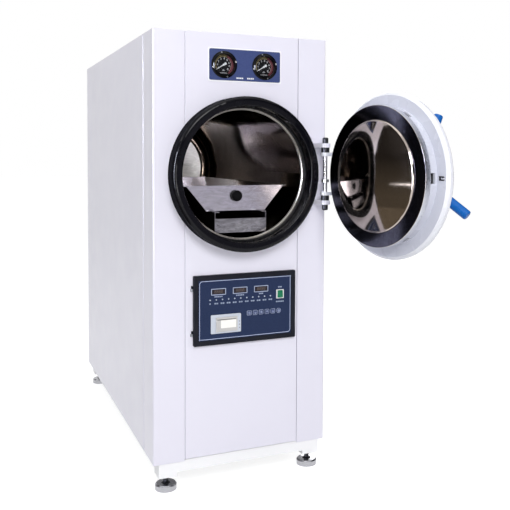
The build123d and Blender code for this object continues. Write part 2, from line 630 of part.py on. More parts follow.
pin_end = BRACKET_Z + BRACKET_T
pin = rod_z(PIN_R, AXIS - pin_end - 4, AXIS + pin_end + 4, HINGE_X, HINGE_Y)
pin += rod_z(13, AXIS - 28, AXIS - 18, HINGE_X, HINGE_Y)
for sz in (-1, 1):
    pin += rod_z(BUSH_R, AXIS + sz * (ARM_Z + ARM_T + CLEAR), AXIS + sz * BRACKET_Z, HINGE_X, HINGE_Y)
    cap = rod_z(CAP_R, AXIS + sz * pin_end, AXIS + sz * (pin_end + CAP_H), HINGE_X, HINGE_Y)
    ends = cap.edges().filter_by(GeomType.CIRCLE).sort_by(Axis.Z)
    pin += fillet([ends[-1] if sz > 0 else ends[0]], 5.0)
save("hinge_pin", pin)

# Gauge plate with two panel gauges.
plate_x = GAUGE_PLATE_X
gauge_front = FRONT - PLATE_SHEET
gauge_plate = panel(GAUGE_PLATE_W, GAUGE_PLATE_H, gauge_front, FRONT, plate_x, gauge_z, 6.0)
cases, dials, glasses = [], [], []
dial_y = FRONT + 4.0
for index, x in enumerate(gauge_xs):
    gauge_plate -= rod_y(GAUGE_CASE_R + CLEAR, FRONT - 5, FRONT + 5, x, gauge_z)
    case = turned([(0, FRONT + GAUGE_DEEP), (GAUGE_CASE_R, FRONT + GAUGE_DEEP), (GAUGE_CASE_R, gauge_front),
                   (GAUGE_FLANGE_R, gauge_front), (GAUGE_FLANGE_R, gauge_front - 3), (GAUGE_FLANGE_R - 3, gauge_front - 5),
                   (GAUGE_DIAL_R + 4.5, gauge_front - 5), (GAUGE_DIAL_R + 1.5, gauge_front - 8),
                   (GAUGE_DIAL_R, gauge_front - 8), (GAUGE_DIAL_R, gauge_front - 2), (GAUGE_DIAL_R + CLEAR, gauge_front - 2),
                   (GAUGE_DIAL_R + CLEAR, dial_y + 1), (0, dial_y + 1)], x, gauge_z)
    cases.append(case)
    dials.append(rod_y(GAUGE_DIAL_R, dial_y, dial_y + 1, x, gauge_z)
                 - rod_y(1.0 + RUN, dial_y - 1, dial_y + 2, x, gauge_z))
    glasses.append(rod_y(GAUGE_DIAL_R, gauge_front - 2, gauge_front - 0.5, x, gauge_z))
    needle = rod_y(3.2, dial_y - 3, dial_y - 1, x, gauge_z) + rod_y(1.0, dial_y - 1, dial_y + 1, x, gauge_z)
    blade = cross_prism([(x - 10, gauge_z - 3.2), (x, gauge_z - 1.6), (x + NEEDLE_L, gauge_z - 0.5),
                         (x + NEEDLE_L, gauge_z + 0.5), (x, gauge_z + 1.6), (x - 10, gauge_z + 3.2)],
                        dial_y - 2.6, dial_y - 1.6)
    needle += Pos(x, 0, gauge_z) * Rot(0, NEEDLE_REST, 0) * Pos(-x, 0, -gauge_z) * blade
    save(f"gauge_needle_{'left' if index == 0 else 'right'}", needle)
save("gauge_plate", gauge_plate)
save("gauge_cases", *cases)
save("gauge_dials", *dials)
save("gauge_glasses", *glasses)

# Control panel: a hinged bezel with the fascia and what is built into it.
bezel_back = FRONT - 0.5
bezel_front = bezel_back - BEZEL_T
fascia_front = bezel_front + 2.5
fascia_back = fascia_front + FASCIA_T
inner_w, inner_h = CTRL_W - 2 * BEZEL_W, CTRL_H - 2 * BEZEL_W
bezel = panel(CTRL_W, CTRL_H, bezel_front, bezel_back, CTRL_X, control_z, 4.0)
bezel = chamfer(bezel.faces().sort_by(Axis.Y)[0].edges(), 2.0)
bezel -= panel(inner_w, inner_h, bezel_front, fascia_back, CTRL_X, control_z)
bezel -= panel(inner_w - 16, inner_h - 16, fascia_back, bezel_back, CTRL_X, control_z)
ctrl_hinge_x = CTRL_X - CTRL_W / 2 - CTRL_KNUCKLE_R - 0.5
ctrl_hinge_y = FRONT - CTRL_KNUCKLE_R - 1.5
hinges = []
for z in (control_z - 0.32 * CTRL_H, control_z + 0.32 * CTRL_H):
    z_up, z_down = z + CTRL_KNUCKLE_H, z - CTRL_KNUCKLE_H
    moving = rod_z(CTRL_KNUCKLE_R, z + CLEAR, z_up, ctrl_hinge_x, ctrl_hinge_y)
    moving += block(ctrl_hinge_x, ctrl_hinge_x + CTRL_KNUCKLE_R + 1, ctrl_hinge_y - 2, ctrl_hinge_y + 2, z + CLEAR, z_up)
    bezel += moving - rod_z(CTRL_PIN_R + RUN, z - 1, z_up + 1, ctrl_hinge_x, ctrl_hinge_y)
    fixed = rod_z(CTRL_KNUCKLE_R, z_down, z, ctrl_hinge_x, ctrl_hinge_y)
    fixed += block(ctrl_hinge_x - 5, ctrl_hinge_x, FRONT - 2, FRONT, z_down, z)
    fixed += block(ctrl_hinge_x - 2.5, ctrl_hinge_x + 2, ctrl_hinge_y, FRONT, z_down, z)
    fixed += rod_z(CTRL_PIN_R, z, z_up - 1, ctrl_hinge_x, ctrl_hinge_y)
    hinges.append(fixed)
save("control_bezel", bezel)
save("control_hinges", *hinges)

switch_x, switch_z = SWITCH_X, control_z + SWITCH_Z
printer_x, printer_z = PRINTER_X, control_z + PRINTER_Z
key_z = control_z + KEY_Z
key_xs = [KEY_X0 + n * KEY_PITCH for n in range(KEYS)]
fascia = panel(inner_w - 2 * CLEAR, inner_h - 2 * CLEAR, fascia_front, fascia_back, CTRL_X, control_z)
fascia -= panel(SWITCH_W - 3, SWITCH_H - 3, fascia_front - 1, fascia_back + 1, switch_x, switch_z)
fascia -= panel(PRINTER_W - 6, PRINTER_H - 6, fascia_front - 1, fascia_back + 1, printer_x, printer_z)
for x in key_xs:
    fascia -= rod_y(KEY_R + RUN * 2, fascia_front - 1, fascia_back + 1, x, key_z)
board_y = fascia_back + 3.2
key_mid = (key_xs[0] + key_xs[-1]) / 2
board_w = key_xs[-1] - key_xs[0] + 26
fascia += panel(board_w, 26, board_y, board_y + 1.6, key_mid, key_z)
for sx in (-1, 1):
    fascia += block(key_mid + sx * board_w / 2, key_mid + sx * (board_w / 2 - 3), fascia_back, board_y + 1.6,
                    key_z - 13, key_z + 13)
save("control_fascia", fascia)
for n, x in enumerate(key_xs):
    key = rod_y(KEY_R, fascia_front - KEY_OUT, fascia_back + CLEAR, x, key_z)
    key = chamfer(key.edges().filter_by(GeomType.CIRCLE).sort_by(Axis.Y)[:1], 0.8)
    key += rod_y(KEY_R + 1.5, fascia_back + CLEAR, fascia_back + 1.3, x, key_z)
    key += rod_y(2.5, fascia_back + 1.3, board_y - KEY_TRAVEL - CLEAR, x, key_z)
    save(f"key_{n + 1}", key)
save("display_windows", *[panel(WINDOW_W, WINDOW_H, fascia_front - 1.2, fascia_front, x, control_z + WINDOW_Z, 1.5)
                          for x in WINDOWS_X])
save("indicator_lamps", *[rod_y(LED_R, fascia_front - 1.2, fascia_front, LED_X0 + n * LED_PITCH, control_z + LED_Z)
                          for n in range(LEDS)])

flap_axis_y = fascia_front - 3 - 1.5 - CLEAR
bay_x, bay_z = printer_x + FLAP_X, printer_z + FLAP_Z
flap_axis_z = bay_z - FLAP_H / 2
housing = panel(PRINTER_W, PRINTER_H, fascia_front - 3, fascia_front, printer_x, printer_z, 3.0)
housing += panel(PRINTER_W - 7, PRINTER_H - 7, fascia_front, fascia_front + PRINTER_D, printer_x, printer_z)
bay_w, bay_h = FLAP_W - 6, FLAP_H - 8
housing -= panel(bay_w, bay_h, fascia_front - 3, fascia_front + 3 * ROLL_R, bay_x, bay_z)
ear_gap = FLAP_W / 2 + CLEAR
for sx in (-1, 1):
    ear = block(bay_x + sx * ear_gap, bay_x + sx * (ear_gap + 3), flap_axis_y - 2, fascia_front - 3,
                flap_axis_z - 2, flap_axis_z + 2)
    housing += ear - rod_x(1.0 + RUN, bay_x - 60, bay_x + 60, flap_axis_y, flap_axis_z)
save("printer_housing", housing)
flap_y = flap_axis_y + 1.2
flap = block(bay_x - FLAP_W / 2, bay_x + FLAP_W / 2, flap_y - FLAP_T - CLEAR, flap_y - CLEAR,
             flap_axis_z, flap_axis_z + FLAP_H)
flap -= block(bay_x - FLAP_W / 2 + 5, bay_x + FLAP_W / 2 - 5, flap_y - FLAP_T - 2, flap_y + 2,
              flap_axis_z + FLAP_H - 9, flap_axis_z + FLAP_H - 6.5)
flap += rod_x(1.5, bay_x - FLAP_W / 2, bay_x + FLAP_W / 2, flap_axis_y, flap_axis_z)
flap += rod_x(1.0, bay_x - FLAP_W / 2 - 2.5, bay_x + FLAP_W / 2 + 2.5, flap_axis_y, flap_axis_z)
save("printer_flap", flap)
roll_z = bay_z - bay_h / 2 + ROLL_R + CLEAR
save("paper_roll", rod_x(ROLL_R, bay_x - bay_w / 2 + 1, bay_x + bay_w / 2 - 1, fascia_front + 2 * ROLL_R, roll_z))

rocker_y = fascia_front - 2.0
switch = panel(SWITCH_W, SWITCH_H, fascia_front - 2, fascia_front, switch_x, switch_z, 2.0)
switch += panel(SWITCH_W - 3.6, SWITCH_H - 3.6, fascia_front, fascia_front + 22, switch_x, switch_z)
switch -= panel(ROCKER_W + 0.8, ROCKER_H + 2.4, fascia_front - 3, rocker_y + 7, switch_x, switch_z)
switch -= rod_x(1.5 + RUN, switch_x - ROCKER_W / 2 - 2, switch_x + ROCKER_W / 2 + 2, rocker_y + 1.6, switch_z)
save("switch_frame", switch)
pivot_y = rocker_y + 1.6
rocker = panel(ROCKER_W, ROCKER_H, pivot_y - ROCKER_T / 2 - 1, pivot_y + ROCKER_T / 2 - 0.6, switch_x, switch_z)
rocker += rod_x(1.5, switch_x - ROCKER_W / 2 - 1.6, switch_x + ROCKER_W / 2 + 1.6, pivot_y, switch_z)
tilt = Pos(0, pivot_y, switch_z) * Rot(-ROCKER_TILT, 0, 0) * Pos(0, -pivot_y, -switch_z)
save("power_rocker", tilt * rocker)

box_w, box_h = hole_w + 6, hole_h + 6
enclosure = panel(box_w, box_h, FRONT + SHEET, FRONT + SHEET + ENCLOSURE_D, CTRL_X, control_z)
enclosure -= panel(box_w - 4, box_h - 4, FRONT + SHEET, FRONT + ENCLOSURE_D, CTRL_X, control_z)
save("control_enclosure", enclosure)

# Steam generator, pipes and the ports in the rear panel.
boiler_z = SKIN_Z + SHEET + BOILER_UP + BOILER_R
boiler_y = FRONT + BOILER_IN
boiler = turned([(0, boiler_y - 30), (60, boiler_y - 30), (60, boiler_y - 14), (BOILER_R - 30, boiler_y - 8),
                 (BOILER_R, boiler_y + 22), (BOILER_R, boiler_y + BOILER_L - 22),
                 (BOILER_R - 30, boiler_y + BOILER_L + 8), (0, boiler_y + BOILER_L + 14)],
                BOILER_X, boiler_z, rounds=((4, 18.0), (5, 18.0)))
boiler += rod_y(78, boiler_y - 44, boiler_y - 30, BOILER_X, boiler_z)
for y in (boiler_y + 0.2 * BOILER_L, boiler_y + 0.8 * BOILER_L):
    boiler += block(BOILER_X - 80, BOILER_X + 80, y - 6, y + 6, SKIN_Z + SHEET, boiler_z - 40)
steam_y = boiler_y + 0.35 * BOILER_L
stub_z = boiler_z + BOILER_R + 24
boiler += rod_z(PIPE_R + 5, boiler_z + BOILER_R - 10, stub_z, BOILER_X, steam_y)
save("steam_generator", boiler)
jacket_low = AXIS - JACKET_R - CLEAR
mid_z = (stub_z + jacket_low) / 2
steam_pipe = pipe([(BOILER_X, steam_y, stub_z), (BOILER_X, steam_y, mid_z - 55), (0, steam_y, mid_z + 55),
                   (0, steam_y, jacket_low)], 45, PIPE_R)
drain_y = FRONT + 0.93 * CHAMBER_L
drain_pipe = pipe([(DRAIN_X, drain_y, jacket_low), (DRAIN_X, drain_y, DRAIN_Z), (DRAIN_X, BACK - SHEET - 22, DRAIN_Z)],
                  60, PIPE_R)
save("pipework", steam_pipe, drain_pipe)
fittings = []
for x, z, r in ports:
    fitting = rod_y(r, BACK - SHEET - 6, BACK + NOZZLE_L, x, z)
    fitting += rod_y(r + 6, BACK, BACK + 6, x, z)
    hexagon = Pos(x, BACK - SHEET, z) * Rot(90, 0, 0) * extrude(RegularPolygon(r + 6, 6, major_radius=False), 20)
    fittings.append(fitting + hexagon)
save("rear_fittings", *fittings)
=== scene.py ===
"""A floor-standing steam sterilizer: finishes, printed marks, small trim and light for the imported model."""

import json
import math

import bpy
from mathutils import Matrix, Vector


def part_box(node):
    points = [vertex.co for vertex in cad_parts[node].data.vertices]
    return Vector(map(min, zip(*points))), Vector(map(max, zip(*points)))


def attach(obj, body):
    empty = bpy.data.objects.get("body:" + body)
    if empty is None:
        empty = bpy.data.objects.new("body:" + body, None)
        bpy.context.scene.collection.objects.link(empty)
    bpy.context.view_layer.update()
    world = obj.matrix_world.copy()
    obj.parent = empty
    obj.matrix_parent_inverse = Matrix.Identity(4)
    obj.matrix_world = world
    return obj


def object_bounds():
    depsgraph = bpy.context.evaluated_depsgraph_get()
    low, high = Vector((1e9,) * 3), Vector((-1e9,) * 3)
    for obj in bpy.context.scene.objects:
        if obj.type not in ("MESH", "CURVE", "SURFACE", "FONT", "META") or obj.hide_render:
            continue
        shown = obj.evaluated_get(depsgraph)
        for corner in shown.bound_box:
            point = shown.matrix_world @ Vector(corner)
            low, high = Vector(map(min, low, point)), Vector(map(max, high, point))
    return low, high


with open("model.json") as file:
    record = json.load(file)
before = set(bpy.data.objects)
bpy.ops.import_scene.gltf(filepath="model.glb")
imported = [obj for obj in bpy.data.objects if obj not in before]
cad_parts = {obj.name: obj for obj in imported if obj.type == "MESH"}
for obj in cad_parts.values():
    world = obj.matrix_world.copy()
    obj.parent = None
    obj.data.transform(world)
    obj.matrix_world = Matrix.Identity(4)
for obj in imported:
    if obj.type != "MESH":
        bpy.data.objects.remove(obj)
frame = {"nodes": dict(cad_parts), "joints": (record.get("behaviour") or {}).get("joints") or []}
node = frame["nodes"]
cad_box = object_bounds()

INK = 0.00025                       # how far a printed mark stands out of its surface
SUNK = 0.0002                       # and how far it reaches into it


# ---------------------------------------------------------------- shader helpers

def finish(name, colour, metallic=0.0, roughness=0.4, **sockets):
    """A new material with one Principled shader; values that are the same all over are set on its sockets."""
    made = bpy.data.materials.new(name)
    made.use_nodes = True
    shader = made.node_tree.nodes["Principled BSDF"]
    shader.inputs["Base Color"].default_value = (*colour, 1)
    shader.inputs["Metallic"].default_value = metallic
    shader.inputs["Roughness"].default_value = roughness
    for socket, value in sockets.items():
        shader.inputs[socket.replace("_", " ")].default_value = value
    return made, made.node_tree, shader


def place(tree, scale=(1, 1, 1), turn=(0, 0, 0), at=(0, 0, 0)):
    """The surface's own place in metres, stretched, turned and centred as a pattern needs it."""
    coords = tree.nodes.new("ShaderNodeTexCoord")
    mapping = tree.nodes.new("ShaderNodeMapping")
    mapping.inputs["Location"].default_value = at
    mapping.inputs["Rotation"].default_value = turn
    mapping.inputs["Scale"].default_value = scale
    tree.links.new(coords.outputs["Object"], mapping.inputs["Vector"])
    return mapping.outputs["Vector"]


def noise(tree, where, scale, detail=3.0, rough=0.5, warp=0.0):
    """A cloudy pattern from 0 to 1, with scale features to the metre."""
    grain = tree.nodes.new("ShaderNodeTexNoise")
    grain.inputs["Scale"].default_value = scale
    grain.inputs["Detail"].default_value = detail
    grain.inputs["Roughness"].default_value = rough
    grain.inputs["Distortion"].default_value = warp
    tree.links.new(where, grain.inputs["Vector"])
    return grain.outputs["Fac"]


def spread(tree, value, low, high, start=0.3, stop=0.7):
    """Maps a pattern's start..stop to low..high."""
    mapped = tree.nodes.new("ShaderNodeMapRange")
    mapped.inputs["From Min"].default_value = start
    mapped.inputs["From Max"].default_value = stop
    mapped.inputs["To Min"].default_value = low
    mapped.inputs["To Max"].default_value = high
    tree.links.new(value, mapped.inputs["Value"])
    return mapped.outputs["Result"]


def two_tones(tree, value, first, second):
    """A colour that goes from first to second as value goes from 0 to 1."""
    mix = tree.nodes.new("ShaderNodeMix")
    mix.data_type = "RGBA"
    mix.inputs["A"].default_value = (*first, 1)
    mix.inputs["B"].default_value = (*second, 1)
    tree.links.new(value, mix.inputs["Factor"])
    return mix.outputs["Result"]


def tint(tree, shader, pattern, colour, shade, start=0.3, stop=0.7):
    """Lets the base colour drift from colour to shade along a pattern."""
    tree.links.new(two_tones(tree, spread(tree, pattern, 0, 1, start, stop), colour, shade),
                   shader.inputs["Base Color"])


def gloss(tree, shader, pattern, low, high):
    """Lets the roughness drift from low to high along a pattern."""
    tree.links.new(spread(tree, pattern, low, high), shader.inputs["Roughness"])


def dent(tree, shader, height, strength, distance, under=None):
    """Raises the surface by a pattern, on top of another bump where one is given."""
    bump = tree.nodes.new("ShaderNodeBump")
    bump.inputs["Strength"].default_value = strength
    bump.inputs["Distance"].default_value = distance
    tree.links.new(height, bump.inputs["Height"])
    if under is not None:
        tree.links.new(under, bump.inputs["Normal"])
    tree.links.new(bump.outputs["Normal"], shader.inputs["Normal"])
    return bump.outputs["Normal"]


# ---------------------------------------------------------------- finishes

def powder_coat(name, colour, shade, roughness=0.34, coat=0.25):
    """Sprayed and baked paint: faint clouds, a fine orange peel and a slightly uneven gloss."""
    made, tree, shader = finish(name, colour, roughness=roughness, Coat_Weight=coat, Coat_Roughness=0.18)
    tint(tree, shader, noise(tree, place(tree), 2.6, 4.0), colour, shade)
    gloss(tree, shader, noise(tree, place(tree), 14, 5.0), roughness - 0.05, roughness + 0.07)
    wave = dent(tree, shader, noise(tree, place(tree), 5.0, 2.0), 0.08, 0.004)
    dent(tree, shader, noise(tree, place(tree), 620, 2.0), 0.10, 0.0004, wave)
    return made


def rolled_steel(name, colour, shade, grain, roughness, wave):
    """Stainless sheet with its rolling grain, soft stains and a slightly wavy face."""
    made, tree, shader = finish(name, colour, metallic=1.0, roughness=roughness)
    tint(tree, shader, noise(tree, place(tree), 9.0, 6.0, 0.62, 0.6), colour, shade, 0.32, 0.68)
    line = noise(tree, place(tree, grain), 6.0, 4.0)
    gloss(tree, shader, line, roughness - 0.07, roughness + 0.12)
    soft = dent(tree, shader, noise(tree, place(tree), 7.0, 2.0, 0.4), wave, 0.01)
    dent(tree, shader, line, 0.05, 0.0004, soft)
    return made


def mirror_steel(name, colour, shade, roughness=0.055, wave=0.05):
    """Buffed stainless: wipe marks, the slight waves of a pressed sheet, and fine level brush lines."""
    made, tree, shader = finish(name, colour, metallic=1.0, roughness=roughness)
    wipe = noise(tree, place(tree, (1, 3, 3), (0.5, 0.3, 0.2)), 22, 6.0, 0.65, 1.2)
    tint(tree, shader, wipe, colour, shade, 0.35, 0.7)
    gloss(tree, shader, wipe, roughness - 0.02, roughness + 0.05)
    soft = dent(tree, shader, noise(tree, place(tree), 6.0, 2.0, 0.4), wave, 0.01)
    dent(tree, shader, noise(tree, place(tree, (20, 8, 600)), 3.0, 2.0), 0.012, 0.0003, soft)
    return made


def turned_steel(name, colour, shade, roughness=0.3):
    """Machined steel with fine tool marks."""
    made, tree, shader = finish(name, colour, metallic=1.0, roughness=roughness)
    mark = noise(tree, place(tree, (1, 1, 5)), 240, 4.0, 0.6)
    tint(tree, shader, mark, colour, shade)
    gloss(tree, shader, noise(tree, place(tree), 45, 5.0), roughness - 0.08, roughness + 0.12)
    dent(tree, shader, mark, 0.06, 0.0003)
    return made


def enamel(name, colour, shade, roughness):
    """Thick glossy black enamel with a little orange peel and dust."""
    made, tree, shader = finish(name, colour, roughness=roughness, Specular_IOR_Level=0.04,
                                Coat_Weight=0.25, Coat_Roughness=0.05)
    dust = noise(tree, place(tree), 30, 8.0, 0.7)
    tint(tree, shader, dust, colour, shade, 0.55, 0.8)
    gloss(tree, shader, dust, roughness - 0.05, roughness + 0.15)
    soft = dent(tree, shader, noise(tree, place(tree), 12, 2.0), 0.07, 0.004)
    dent(tree, shader, noise(tree, place(tree), 420, 2.0), 0.02, 0.0002, soft)
    return made


def moulded(name, colour, shade, roughness, grain=900.0, **sockets):
    """Moulded plastic or rubber with a fine spark-eroded grain and a slightly uneven colour."""
    made, tree, shader = finish(name, colour, roughness=roughness, **sockets)
    tint(tree, shader, noise(tree, place(tree), 18, 4.0), colour, shade)
    gloss(tree, shader, noise(tree, place(tree), 60, 5.0), roughness - 0.06, roughness + 0.1)
    dent(tree, shader, noise(tree, place(tree), grain, 3.0), 0.12, 0.0003)
    return made


def printed(name, colour, shade, roughness=0.5, **sockets):
    """Screen ink on film or metal: flat, with the faint mottle of the mesh."""
    made, tree, shader = finish(name, colour, roughness=roughness, **sockets)
    tint(tree, shader, noise(tree, place(tree), 260, 4.0), colour, shade)
    gloss(tree, shader, noise(tree, place(tree), 90, 3.0), roughness - 0.05, roughness + 0.05)
    return made


def clear(name, colour, alpha, roughness=0.03):
    """A thin clear window over what lies behind it, with finger marks in its gloss."""
    made, tree, shader = finish(name, colour, roughness=roughness, Alpha=alpha)
    gloss(tree, shader, noise(tree, place(tree), 60, 5.0, 0.6), roughness, roughness + 0.09)
    return made


def lit(name, colour, strength):
    """Segments of a display with a weak light of their own."""
    made, tree, shader = finish(name, colour, roughness=0.2, Emission_Strength=strength,
                                Emission_Color=(*colour, 1))
    gloss(tree, shader, noise(tree, place(tree), 300, 3.0), 0.15, 0.3)
    return made


# Each finish: its usual colour, then the close second tone that it drifts to.
cabinet_white = powder_coat("cabinet_white", (0.78, 0.765, 0.865), (0.755, 0.74, 0.84))
# The base frame is the cabinet's white made brighter: painted light on the low skirt, which gets less light.
base_white = powder_coat("base_white", (0.94, 0.94, 0.96), (0.91, 0.91, 0.93), 0.42, 0.1)
door_white = powder_coat("door_white", (0.80, 0.81, 0.87), (0.75, 0.76, 0.83), 0.26, 0.4)
# A darker grey copy of the door's white for the drum and the face of the door's flat ring: painted shade.
drum_grey = powder_coat("drum_grey", (0.64, 0.655, 0.74), (0.55, 0.565, 0.65), 0.28, 0.35)
# Steel painted nearly black for the flat ring round the door's dome: a painted dark reflection.
ring_steel = mirror_steel("ring_steel", (0.085, 0.085, 0.115), (0.055, 0.055, 0.075), 0.10, 0.10)
tray_steel = mirror_steel("tray_steel", (0.74, 0.72, 0.78), (0.50, 0.48, 0.53), 0.18, 0.55)
support_steel = mirror_steel("support_steel", (0.44, 0.43, 0.46), (0.16, 0.155, 0.17), 0.21, 0.58)
# The chamber's stainless is painted dark brown: painted shade and dark reflection inside the deep chamber.
chamber_steel = mirror_steel("chamber_steel", (0.20, 0.165, 0.135), (0.13, 0.105, 0.085), 0.07, 0.20)
pin_steel = mirror_steel("pin_steel", (0.90, 0.90, 0.92), (0.80, 0.80, 0.82), 0.22, 0.05)
# The rear head is the chamber's stainless painted much brighter: a painted highlight.
head_steel = mirror_steel("head_steel", (0.84, 0.82, 0.81), (0.62, 0.60, 0.59), 0.30, 0.30)
dome_steel = mirror_steel("dome_steel", (0.44, 0.385, 0.355), (0.38, 0.33, 0.30))
collar_enamel = enamel("collar_enamel", (0.0025, 0.0025, 0.0045), (0.006, 0.006, 0.009), 0.2)
bead_silver = rolled_steel("bead_silver", (0.55, 0.52, 0.47), (0.36, 0.34, 0.31), (60, 60, 60), 0.3, 0.05)
bright_steel = turned_steel("bright_steel", (0.62, 0.61, 0.61), (0.45, 0.45, 0.46))
grey_steel = turned_steel("grey_steel", (0.36, 0.37, 0.39), (0.24, 0.25, 0.27), 0.38)
dark_steel = turned_steel("dark_steel", (0.05, 0.05, 0.055), (0.03, 0.03, 0.035), 0.35)
disc_steel = turned_steel("disc_steel", (0.50, 0.50, 0.53), (0.34, 0.34, 0.36), 0.22)
band_steel = rolled_steel("band_steel", (0.66, 0.67, 0.72), (0.52, 0.53, 0.58), (40, 40, 40), 0.3, 0.05)
grip_blue = moulded("grip_blue", (0.002, 0.125, 0.47), (0.002, 0.10, 0.40), 0.34,
                    Specular_IOR_Level=0.3)
knob_black = moulded("knob_black", (0.003, 0.003, 0.004), (0.006, 0.006, 0.007), 0.34,
                     Specular_IOR_Level=0.05)
bezel_black = moulded("bezel_black", (0.007, 0.008, 0.013), (0.012, 0.013, 0.020), 0.38,
                      Specular_IOR_Level=0.12)
fascia_blue = printed("fascia_blue", (0.016, 0.027, 0.072), (0.020, 0.033, 0.084), 0.36,
                      Specular_IOR_Level=0.12)
plate_blue = printed("plate_blue", (0.046, 0.066, 0.185), (0.052, 0.075, 0.205), 0.36,
                     Specular_IOR_Level=0.2)
dial_black = printed("dial_black", (0.004, 0.004, 0.006), (0.006, 0.006, 0.008), 0.5,
                     Specular_IOR_Level=0.1)
case_black = enamel("case_black", (0.004, 0.004, 0.005), (0.008, 0.008, 0.009), 0.22)
# White for the rim round the gauge plate: a painted highlight along the plate's edge.
rim_white = powder_coat("rim_white", (0.93, 0.93, 0.96), (0.90, 0.90, 0.93), 0.3, 0.3)
ink_white = printed("ink_white", (0.78, 0.80, 0.84), (0.72, 0.74, 0.78))
ink_blue_white = printed("ink_blue_white", (0.42, 0.48, 0.66), (0.38, 0.44, 0.62))
ink_olive = printed("ink_olive", (0.40, 0.32, 0.16), (0.34, 0.27, 0.13))
ink_dark_olive = printed("ink_dark_olive", (0.085, 0.068, 0.010), (0.065, 0.052, 0.008))
ink_red = printed("ink_red", (0.42, 0.20, 0.20), (0.36, 0.16, 0.17))
ink_dark_red = printed("ink_dark_red", (0.125, 0.006, 0.020), (0.095, 0.005, 0.016))
ink_pale = printed("ink_pale", (0.55, 0.62, 0.86), (0.50, 0.57, 0.80))
ink_mid_red = printed("ink_mid_red", (0.17, 0.03, 0.045), (0.14, 0.025, 0.035))
ink_grey_blue = printed("ink_grey_blue", (0.30, 0.36, 0.50), (0.26, 0.31, 0.44))
window_glass = clear("window_glass", (0.05, 0.055, 0.06), 0.045)
display_smoke = moulded("display_smoke", (0.020, 0.017, 0.022), (0.030, 0.025, 0.032), 0.22,
                        Specular_IOR_Level=0.12)
digit_glow = lit("digit_glow", (0.085, 0.062, 0.058), 0.20)
lamp_lens = moulded("lamp_lens", (0.50, 0.56, 0.70), (0.44, 0.50, 0.62), 0.25)
printer_grey = moulded("printer_grey", (0.58, 0.62, 0.70), (0.54, 0.58, 0.66), 0.4)
flap_beige = moulded("flap_beige", (0.56, 0.55, 0.545), (0.52, 0.51, 0.505), 0.4)
frame_white = moulded("frame_white", (0.80, 0.80, 0.80), (0.76, 0.76, 0.76), 0.4)
paper_white = printed("paper_white", (0.95, 0.94, 0.90), (0.91, 0.90, 0.86), 0.8)
switch_green = moulded("switch_green", (0.006, 0.19, 0.085), (0.005, 0.15, 0.065), 0.25)
key_blue = moulded("key_blue", (0.045, 0.065, 0.16), (0.05, 0.07, 0.17), 0.4)
jacket_foil = rolled_steel("jacket_foil", (0.6, 0.6, 0.6), (0.5, 0.5, 0.5), (30, 30, 30), 0.3, 0.5)
frame_grey = powder_coat("frame_grey", (0.13, 0.135, 0.145), (0.10, 0.105, 0.115), 0.5, 0.0)
matt_black = moulded("matt_black", (0.0025, 0.0025, 0.0045), (0.005, 0.005, 0.008), 0.7, 500.0,
                     Specular_IOR_Level=0.02)
gasket_rubber = moulded("gasket_rubber", (0.008, 0.008, 0.009), (0.014, 0.014, 0.015), 0.5, 500.0,
                        Specular_IOR_Level=0.15)

painted = {
    cabinet_white: ["front_panel", "column_left", "column_right", "side_panel_left", "side_panel_right",
                    "top_cover", "rear_panel", "hinge_brackets"],
    base_white: ["base_frame"],
    door_white: ["door_cover", "door_arm"],
    drum_grey: ["door_drum"],
    tray_steel: ["loading_tray"],
    support_steel: ["tray_support"],
    chamber_steel: ["chamber"],
    dome_steel: ["door_head"],
    collar_enamel: ["locking_collar"],
    gasket_rubber: ["door_gasket"],
    disc_steel: ["levelling_feet"],
    bright_steel: ["hinge_pin", "rear_fittings", "bar_guides"],
    dark_steel: [f"lock_bar_{n}" for n in range(1, 7)],
    grey_steel: ["handwheel_hub", "cam_plate", "pipework", "steam_generator", "control_hinges"],
    grip_blue: ["handwheel_grips"],
    knob_black: ["tray_knob"],
    bezel_black: ["control_bezel"],
    fascia_blue: ["control_fascia"],
    plate_blue: ["gauge_plate"],
    dial_black: ["gauge_dials"],
    case_black: ["gauge_cases"],
    ink_white: ["gauge_needle_left", "gauge_needle_right"],
    window_glass: ["gauge_glasses"],
    display_smoke: ["display_windows"],
    lamp_lens: ["indicator_lamps"],
    printer_grey: ["printer_housing"],
    flap_beige: ["printer_flap"],
    frame_white: ["switch_frame"],
    paper_white: ["paper_roll"],
    switch_green: ["power_rocker"],
    key_blue: [f"key_{n}" for n in range(1, 7)],
    jacket_foil: ["jacket"],
    frame_grey: ["cabinet_frame", "control_enclosure"],
}
for coat, names in painted.items():
    for name in names:
        node[name].data.materials.clear()
        node[name].data.materials.append(coat)


# ---------------------------------------------------------------- second finishes on some faces

joint = {j["name"]: j for j in frame["joints"]}
hinge = Vector(joint["door_hinge"]["pos_m"])
opened = Matrix.Rotation(math.radians(-joint["door_hinge"]["range_deg"][0]), 4, "Z")
swing = Matrix.Translation(hinge) @ opened @ Matrix.Translation(-hinge)     # closed door to open door
shut = swing.inverted()
axis_z = hinge.z                                                            # height of the chamber's axis
front_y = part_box("front_panel")[0].y
chamber_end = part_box("chamber")[1].y
collar_low, collar_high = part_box("locking_collar")
collar_edge = (collar_high.x - collar_low.x) / 2

BEAD_R, BEAD_DEPTH = 0.2175, 0.011          # the chamber's mouth bead
HEAD_R, HEAD_DEPTH = 0.172, 0.030           # the dish of the rear head
PIN_CAP = 0.104                             # hinge pin, from the axis: its caps start here
NUT_FROM, NUT_TO = 0.072, 0.0885            # and its bushes lie between these
PAD_TOP = 0.0202                            # levelling feet: stem and nut above the pad
DOOR_EDGE_R = 0.2                           # the head plate's edge lies beyond this
DOME_R = 0.1745                             # and the flat ring round its dome beyond this
POCKET_FACE, POCKET_HALF = -0.7075, 0.0067  # safety pin's recess in the closed door: depth and half height
POCKET_FROM, POCKET_TO = -0.246, -0.2205    # and its two ends across the door


